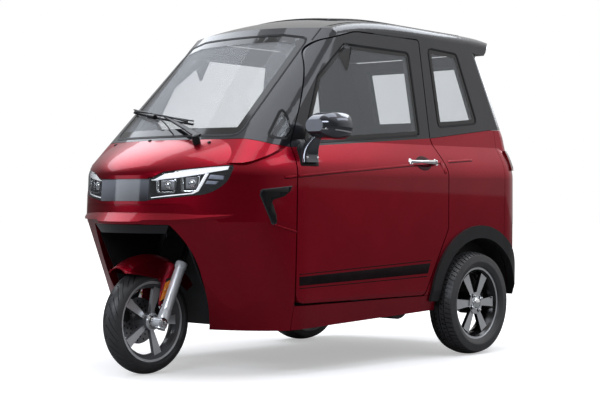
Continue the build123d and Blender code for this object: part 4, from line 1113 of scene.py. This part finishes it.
WINDOWS = [
    # title, glass node, node round it, body, corners of the pane, rounding, width of its printed edge
    ("windscreen", "windscreen", "cab_frame", "body", [
        (-0.392, 1.020), (0.392, 1.020), (0.374, 1.466), (0.250, 1.486), (-0.250, 1.486), (-0.374, 1.466)
    ], 0.030, 0.034),
    ("rear_window", "rear_window", "tailgate_frame", "tailgate", [
        (-0.345, 1.130), (0.345, 1.130), (0.318, 1.440), (-0.318, 1.440)
    ], 0.024, 0.026),
]
SIDE_WINDOWS = [
    ("door_window", "{}_door_glass", "{}_door_frame", "{}_door", [
        (-0.500, 0.990), (0.325, 1.048), (0.318, 1.440), (-0.150, 1.446), (-0.352, 1.290)
    ], 0.022, 0.020),
    ("quarter_window", "quarter_windows", "cab_frame", "body", [
        (0.484, 1.092), (0.806, 1.122), (0.705, 1.462), (0.478, 1.474)
    ], 0.022, 0.022),
    ("corner_window", "corner_windows", "cab_frame", "body", [
        (-0.690, 1.012), (-0.604, 1.004), (-0.566, 1.034), (-0.576, 1.140)
    ], 0.010, 0.010),
]


def glass_edges(look, title, node, surround, body, corners, bend, wide):
    """The black printed edge of a pane and the rubber seal round it."""
    how = {"sink": 0.0004, "step": 0.05, "round_off": 0}
    edge = ring_faces(corners, 0.004, wide, bend)
    overlay(title + "_printed_edge", body, gloss_black, look, skin_of(node), edge, rise=0.0004, **how)
    seal = ring_faces(corners, -0.004, 0.005, bend)
    overlay(title + "_seal", body, soft_rubber, look, skin_of(node, surround), seal, rise=0.0022, **how)


def dress_windows():
    """Edges and seals of every pane."""
    for look, window in zip(("front", "back"), WINDOWS):
        glass_edges(look, *window)
    for look in ("left", "right"):
        for title, *names, corners, bend, wide in SIDE_WINDOWS:
            glass_edges(look, look + "_" + title, *(name.format(look) for name in names), corners, bend, wide)


# ---- Mirrors, handles and roof ------------------------------------------------------------------
# The pull handle from front to back: place along the car, place outwards, half depth and half height.
PULL = [
    (0.189, 0.5660, 0.0040, 0.0085),
    (0.203, 0.5760, 0.0052, 0.0072),
    (0.220, 0.5875, 0.0054, 0.0062),
    (0.245, 0.5930, 0.0050, 0.0066),
    (0.292, 0.5940, 0.0050, 0.0084),
    (0.340, 0.5930, 0.0054, 0.0106),
    (0.362, 0.5880, 0.0060, 0.0112),
    (0.380, 0.5770, 0.0064, 0.0108),
    (0.393, 0.5660, 0.0058, 0.0095),
]
PULL_HEIGHT = 0.922
PULL_SIDES = 20
LOCK = [(-0.002, 0.0), (-0.002, 0.0070), (0.0012, 0.0066), (0.0012, 0.0042), (0.0004, 0.0040), (0.0004, 0.0)]
MIRROR_SCREWS = [(-0.543, 0.925), (-0.478, 0.925)]
SCREW = [(-0.001, 0.0), (-0.001, 0.0065), (0.002, 0.0060), (0.0035, 0.0035), (0.004, 0.0)]
GASKET = [
    (-0.566, 0.898), (-0.560, 0.890), (-0.460, 0.890), (-0.454, 0.898),
    (-0.458, 0.962), (-0.482, 0.985), (-0.540, 0.985), (-0.562, 0.962),
]
MIRROR_PANE = [(0.575, 1.011), (0.725, 1.011), (0.725, 1.109), (0.575, 1.109)]
LEFT_LINE = [
    (-0.5475, 1.046), (-0.440, 1.034), (-0.4255, 1.034), (-0.4255, 1.029), (-0.440, 1.029), (-0.5475, 1.041)
]
RIGHT_LINE = [(-0.64, 1.047), (-0.56, 1.047), (-0.56, 1.041), (-0.64, 1.041)]
SUNROOF = [(-0.300, -0.040), (0.300, -0.040), (0.300, 0.470), (-0.300, 0.470)]


def ellipse(across, up, wide, high, count):
    """A drawn ellipse round a point."""
    turns = [number * math.tau / count for number in range(count)]
    return [(across + wide * math.cos(turn), up + high * math.sin(turn)) for turn in turns]


def pull_handle(side, look):
    """A slim bowed door pull, thicker towards its back end, where the lock is."""
    body = look + "_door"
    mesh = bmesh.new()
    loops = []
    for y, x, deep, high in PULL:
        spots = ellipse(x, PULL_HEIGHT, deep, high, PULL_SIDES)
        loops.append([mesh.verts.new((side * out, y, up)) for out, up in spots])
    for low, high in zip(loops, loops[1:]):
        for number in range(PULL_SIDES):
            after = (number + 1) % PULL_SIDES
            mesh.faces.new((low[number], low[after], high[after], high[number]))
    mesh.faces.new(loops[0])
    mesh.faces.new(loops[-1])
    handle = finished(look + "_pull_handle", mesh, body, chrome)
    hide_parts(look + "_door_handle")
    mesh = bmesh.new()
    turned(mesh, LOCK, (side * 0.5975, 0.346, PULL_HEIGHT), side=side, steps=24)
    finished(look + "_door_lock", mesh, body, steel)


def dress_doors(side, look):
    """Handle and its mounts, mirror gasket and screws of one door."""
    pull_handle(side, look)
    door = look + "_door"
    skin = skin_of(door)
    mounts = [ellipse(y, PULL_HEIGHT, 0.014, 0.0155, 24) for y in (0.196, 0.388)]
    how = {"rise": 0.0025, "step": 0.06, "round_off": 0.0008}
    overlay(look + "_handle_mounts", door, chrome, look, skin, *mounts, **how)
    # The dish behind the pull is a flat dark sheet: painted shade.
    dish_shade = ellipse(0.292, 0.916, 0.058, 0.034, 32)
    how = {"rise": 0.0008, "step": 0.03, "round_off": 0.0003}
    overlay(look + "_handle_dish_shade", door, painted_shade_red, look, skin, dish_shade, **how)
    mesh = bmesh.new()
    arm = skin_of(look + "_mirror")
    for y, z in MIRROR_SCREWS:
        spot, _, _, _ = arm.ray_cast(Vector((side * 1.2, y, z)), Vector((-side, 0, 0)))
        if spot is not None:
            turned(mesh, SCREW, spot, side=side, steps=16)
    finished(look + "_mirror_screws", mesh, door, chrome)
    how = {"rise": 0.003, "step": 0.06, "round_off": 0.001}
    overlay(look + "_mirror_gasket", door, soft_rubber, look, skin_of(door, door + "_frame"), GASKET, **how)


def dress_mirrors():
    """Mirror glass and the bright line on each housing."""
    left, right = skin_of("left_mirror"), skin_of("right_mirror")
    pane = ring_faces(MIRROR_PANE, 0.0, 0.012, 0.040) + [rounded_loop(MIRROR_PANE, 0.012, 0.040)]
    how = {"rise": 0.0006, "sink": 0.0004, "step": 0.2, "round_off": 0}
    overlay("left_mirror_glass", "left_door", mirror_silver, "back", left, pane, **how)
    how = {"rise": 0.0022, "step": 0.03, "round_off": 0.0008}
    overlay("left_mirror_line", "left_door", chrome, "left", left, LEFT_LINE, **how)
    overlay("right_mirror_line", "right_door", chrome, "front", right, RIGHT_LINE, **how)


def dress_roof():
    """The sunroof's seal and the rain channels."""
    roof = skin_of("cab_frame")
    how = {"rise": 0.0026, "step": 0.08, "round_off": 0.001}
    seal = ring_faces(SUNROOF, -0.009, 0.001, 0.060)
    overlay("sunroof_seal", "body", soft_rubber, "top", roof, seal, **how)
    channels = []
    for side in (1, -1):
        line = [(side * 0.398, y) for y in (-0.30, -0.10, 0.2, 0.5, 0.80)]
        channels.append(line + [(x - side * 0.006, y) for x, y in reversed(line)])
    how = {"rise": 0.0016, "step": 0.06, "round_off": 0.0006}
    overlay("roof_channels", "body", soft_rubber, "top", roof, *channels, **how)


# ---- Cabin --------------------------------------------------------------------------------------
CUSHIONS = [
    # name, low corner, high corner, lean in degrees, sewn channels, node that it stands for
    ("driver_seat_cushion", (-0.222, -0.175, 0.450), (0.222, 0.200, 0.548), 0, 4, "driver_seat"),
    ("driver_seat_back", (-0.215, 0.205, 0.545), (0.215, 0.285, 0.945), 14, 5, None),
    ("rear_bench_cushion", (-0.415, 0.515, 0.462), (0.415, 0.810, 0.558), 0, 3, "rear_bench"),
    ("rear_bench_back", (-0.415, 0.775, 0.560), (0.415, 0.850, 0.935), 11, 4, None),
]
CUSHION_BEND = 0.035
CUSHION_VOXEL = 0.008
STUFFING_PRESSURE = 4.0
STUFFING_STEPS = 12
SWELL = 0.012  # the most that the stuffing moves the cover
# Sewn channels: how sharp they are, the part of the cushion that has them, and how deep they are.
CHANNEL_SHARP = 9.0
CHANNELS_FROM, CHANNELS_TO = 0.08, 0.92
CHANNEL_WIDE = 0.40
CHANNEL_DEEP = 0.007
# The seam along each side of the channels: its place, its width and its depth.
SEAM_AT, SEAM_WIDE, SEAM_DEEP = 0.41, 0.010, 0.006


def apply_modifier(piece, kind, **settings):
    """One modifier made and applied at once."""
    step = piece.modifiers.new("step", kind)
    for key, value in settings.items():
        setattr(step, key, value)
    shape = bpy.data.meshes.new_from_object(piece.evaluated_get(bpy.context.evaluated_depsgraph_get()))
    piece.modifiers.remove(step)
    old = piece.data
    piece.data = shape
    bpy.data.meshes.remove(old)


def stuffed(piece):
    """The cover swollen by pressure from within, by no more than SWELL."""
    rest = [vert.co.copy() for vert in piece.data.vertices]
    cloth = piece.modifiers.new("stuffing", "CLOTH")
    cloth.settings.use_pressure = True
    cloth.settings.uniform_pressure_force = STUFFING_PRESSURE
    cloth.settings.effector_weights.gravity = 0.0
    cloth.settings.quality = 4
    for step in range(1, STUFFING_STEPS + 1):
        bpy.context.scene.frame_set(step)
    shape = piece.evaluated_get(bpy.context.evaluated_depsgraph_get()).to_mesh()
    swollen = [vert.co.copy() for vert in shape.vertices]
    piece.modifiers.remove(cloth)
    bpy.context.scene.frame_set(1)
    for vert, old, new in zip(piece.data.vertices, rest, swollen):
        move = new - old
        vert.co = old + move * min(1.0, SWELL / max(move.length, 1e-6))


def sewn(mesh, low, high, channels):
    """Channels and side seams pressed into a cushion's front or top."""
    upright = high[2] - low[2] > high[1] - low[1]
    along, out = (2, 1) if upright else (1, 2)
    inwards = Vector((0, 1, 0)) if upright else Vector((0, 0, -1))
    middle = Vector(low).lerp(Vector(high), 0.5)
    wide = high[0] - low[0]
    for vert in mesh.verts:
        if (vert.co - middle).dot(inwards) >= 0:
            continue
        share = (vert.co[along] - low[along]) / (high[along] - low[along])
        aside = abs(vert.co.x - middle.x)
        dip = 0.0
        if aside < wide * CHANNEL_WIDE and CHANNELS_FROM < share < CHANNELS_TO:
            dip = max(0.0, 1 - abs((share * channels) % 1.0 - 0.5) * CHANNEL_SHARP)
        seam = max(0.0, 1 - abs(aside - wide * SEAM_AT) / SEAM_WIDE)
        vert.co += inwards * (dip * CHANNEL_DEEP + seam * SEAM_DEEP)


def cushion(name, low, high, lean, channels, replaced):
    """A padded cushion between two corners, leaning back about its foot, with sewn channels."""
    mesh = bmesh.new()
    block(mesh, low, high, CUSHION_BEND)
    data = bpy.data.meshes.new(name)
    mesh.to_mesh(data)
    mesh.free()
    piece = bpy.data.objects.new(name, data)
    bpy.context.scene.collection.objects.link(piece)
    apply_modifier(piece, "REMESH", mode="VOXEL", voxel_size=CUSHION_VOXEL, use_smooth_shade=True)
    stuffed(piece)
    mesh = bmesh.new()
    mesh.from_mesh(piece.data)
    sewn(mesh, low, high, channels)
    foot = Vector(((low[0] + high[0]) / 2, (low[1] + high[1]) / 2, low[2]))
    bmesh.ops.rotate(mesh, verts=mesh.verts, cent=foot, matrix=Matrix.Rotation(math.radians(-lean), 3, "X"))
    mesh.to_mesh(piece.data)
    mesh.free()
    apply_modifier(piece, "SUBSURF", levels=1, render_levels=1)
    piece.data.polygons.foreach_set("use_smooth", [True] * len(piece.data.polygons))
    piece.data.materials.append(seat_leather)
    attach(piece, "body")
    if replaced:
        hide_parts(replaced)


def dress_cabin():
    """Seats, and the hooded display on the dashboard."""
    for row in CUSHIONS:
        cushion(*row)
    boxes("display_hood", "body", cabin_plastic, 0.010, ((-0.11, -0.735, 0.930), (0.11, -0.700, 0.985)))
    boxes("display_screen", "body", gloss_black, 0.001, ((-0.092, -0.702, 0.938), (0.092, -0.698, 0.977)))


# ---- Back of the car ----------------------------------------------------------------------------
PLATE = [(-0.255, 0.790), (0.255, 0.790), (0.255, 0.910), (-0.255, 0.910)]
PLATE_LAMPS = (-0.055, 0.055)
BACK_REFLECTOR = [(0.500, 0.668), (0.440, 0.668), (0.440, 0.702), (0.500, 0.702)]
TAIL_RIB = [(1.045, 0.903), (1.110, 0.903), (1.110, 0.982), (1.045, 0.982)]


def dress_back():
    """Plate recess and its lamps, reflectors and the ribs on the tail lamps."""
    gate = skin_of("tailgate")
    frame_round = ring_faces(PLATE, 0.0, 0.014, 0.020)
    how = {"rise": 0.006, "step": 0.1, "round_off": 0.002}
    overlay("plate_frame", "tailgate", black_plastic, "back", gate, frame_round, **how)
    how = {"rise": 0.0012, "step": 0.1, "round_off": 0.0004}
    overlay("plate_field", "tailgate", satin_black, "back", gate, rounded_loop(PLATE, 0.014, 0.020), **how)
    boxes("plate_lamp_bar", "tailgate", black_plastic, 0.003, ((-0.09, 1.139, 0.918), (0.09, 1.1475, 0.940)))
    lamps = [((x - 0.016, 1.138, 0.9145), (x + 0.016, 1.1455, 0.9185)) for x in PLATE_LAMPS]
    boxes("plate_lamps", "tailgate", pale_bar, 0.001, *lamps)
    discs = [rounded_loop([(side * x, z) for x, z in BACK_REFLECTOR], 0.0, 0.012) for side in (1, -1)]
    how = {"rise": 0.004, "step": 0.02, "round_off": 0.001}
    overlay("rear_reflectors", "body", red_lens, "back", skin_of("rear_shell"), *discs, **how)
    rib = ring_faces(TAIL_RIB, 0.0, 0.006, 0.010)
    how = {"rise": 0.0012, "step": 0.02, "round_off": 0.0004}
    for look in ("left", "right"):
        overlay(look + "_tail_lamp_rib", "body", gloss_black, look, skin_of("tail_lamps"), rib, **how)


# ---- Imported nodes' finishes ---------------------------------------------------------------------
CAD_FINISHES = [
    (red_paint, [
        "front_shell", "sill_panels", "rear_quarters", "rear_shell", "left_door", "right_door", "tailgate",
        "front_mudguard",
    ]),
    (black_paint, ["cab_frame", "left_door_frame", "right_door_frame", "tailgate_frame", "rear_spoiler"]),
    (black_plastic, ["arch_flares", "wheel_well", "wheelhouses"]),
    (gloss_black, ["nose_bar"]),
    (lamp_band_painted_sheen, ["nose_band"]),
    (band_black, ["sunroof_panel"]),
    (black_chrome, ["left_mirror", "right_mirror"]),
    (screen_glass, ["windscreen"]),
    (window_glass, [
        "quarter_windows", "corner_windows", "left_door_glass", "right_door_glass", "rear_window"
    ]),
    (lens_clear, ["headlamp_lenses"]),
    (lamp_black, ["headlamp_units"]),
    (red_lens, ["tail_lamps"]),
    (cabin_plastic, ["dashboard", "battery_box"]),
    (carpet, ["floor_pan"]),
    (seat_cloth, ["driver_seat", "rear_bench"]),
    (rubber, ["front_tyre", "rear_left_tyre", "rear_right_tyre"]),
    (bright_alloy, ["front_rim"]),
    (two_tone_and_shade, ["rear_left_rim", "rear_right_rim"]),
    (steel, ["brake_disc"]),
    (chrome, ["fork_tubes"]),
    (cast_silver, ["fork_sliders"]),
    (frame_black, ["rear_axle", "handlebar", "steering_head", "rear_suspension", "brake_caliper"]),
]


def dress_cad_nodes():
    """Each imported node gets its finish."""
    for material, names in CAD_FINISHES:
        for name in names:
            nodes[name].data.materials.clear()
            nodes[name].data.materials.append(material)


place_camera()
hang_lamps()
light_world()
lay_floor()
dress_cad_nodes()
both_sides(flank_trim)
both_sides(lamp_insides)
dress_front_wheel()
both_sides(dress_rear_wheel)
dress_fork()
dress_handlebar()
dress_windscreen()
dress_windows()
both_sides(dress_doors)
dress_mirrors()
dress_roof()
dress_cabin()
dress_back()
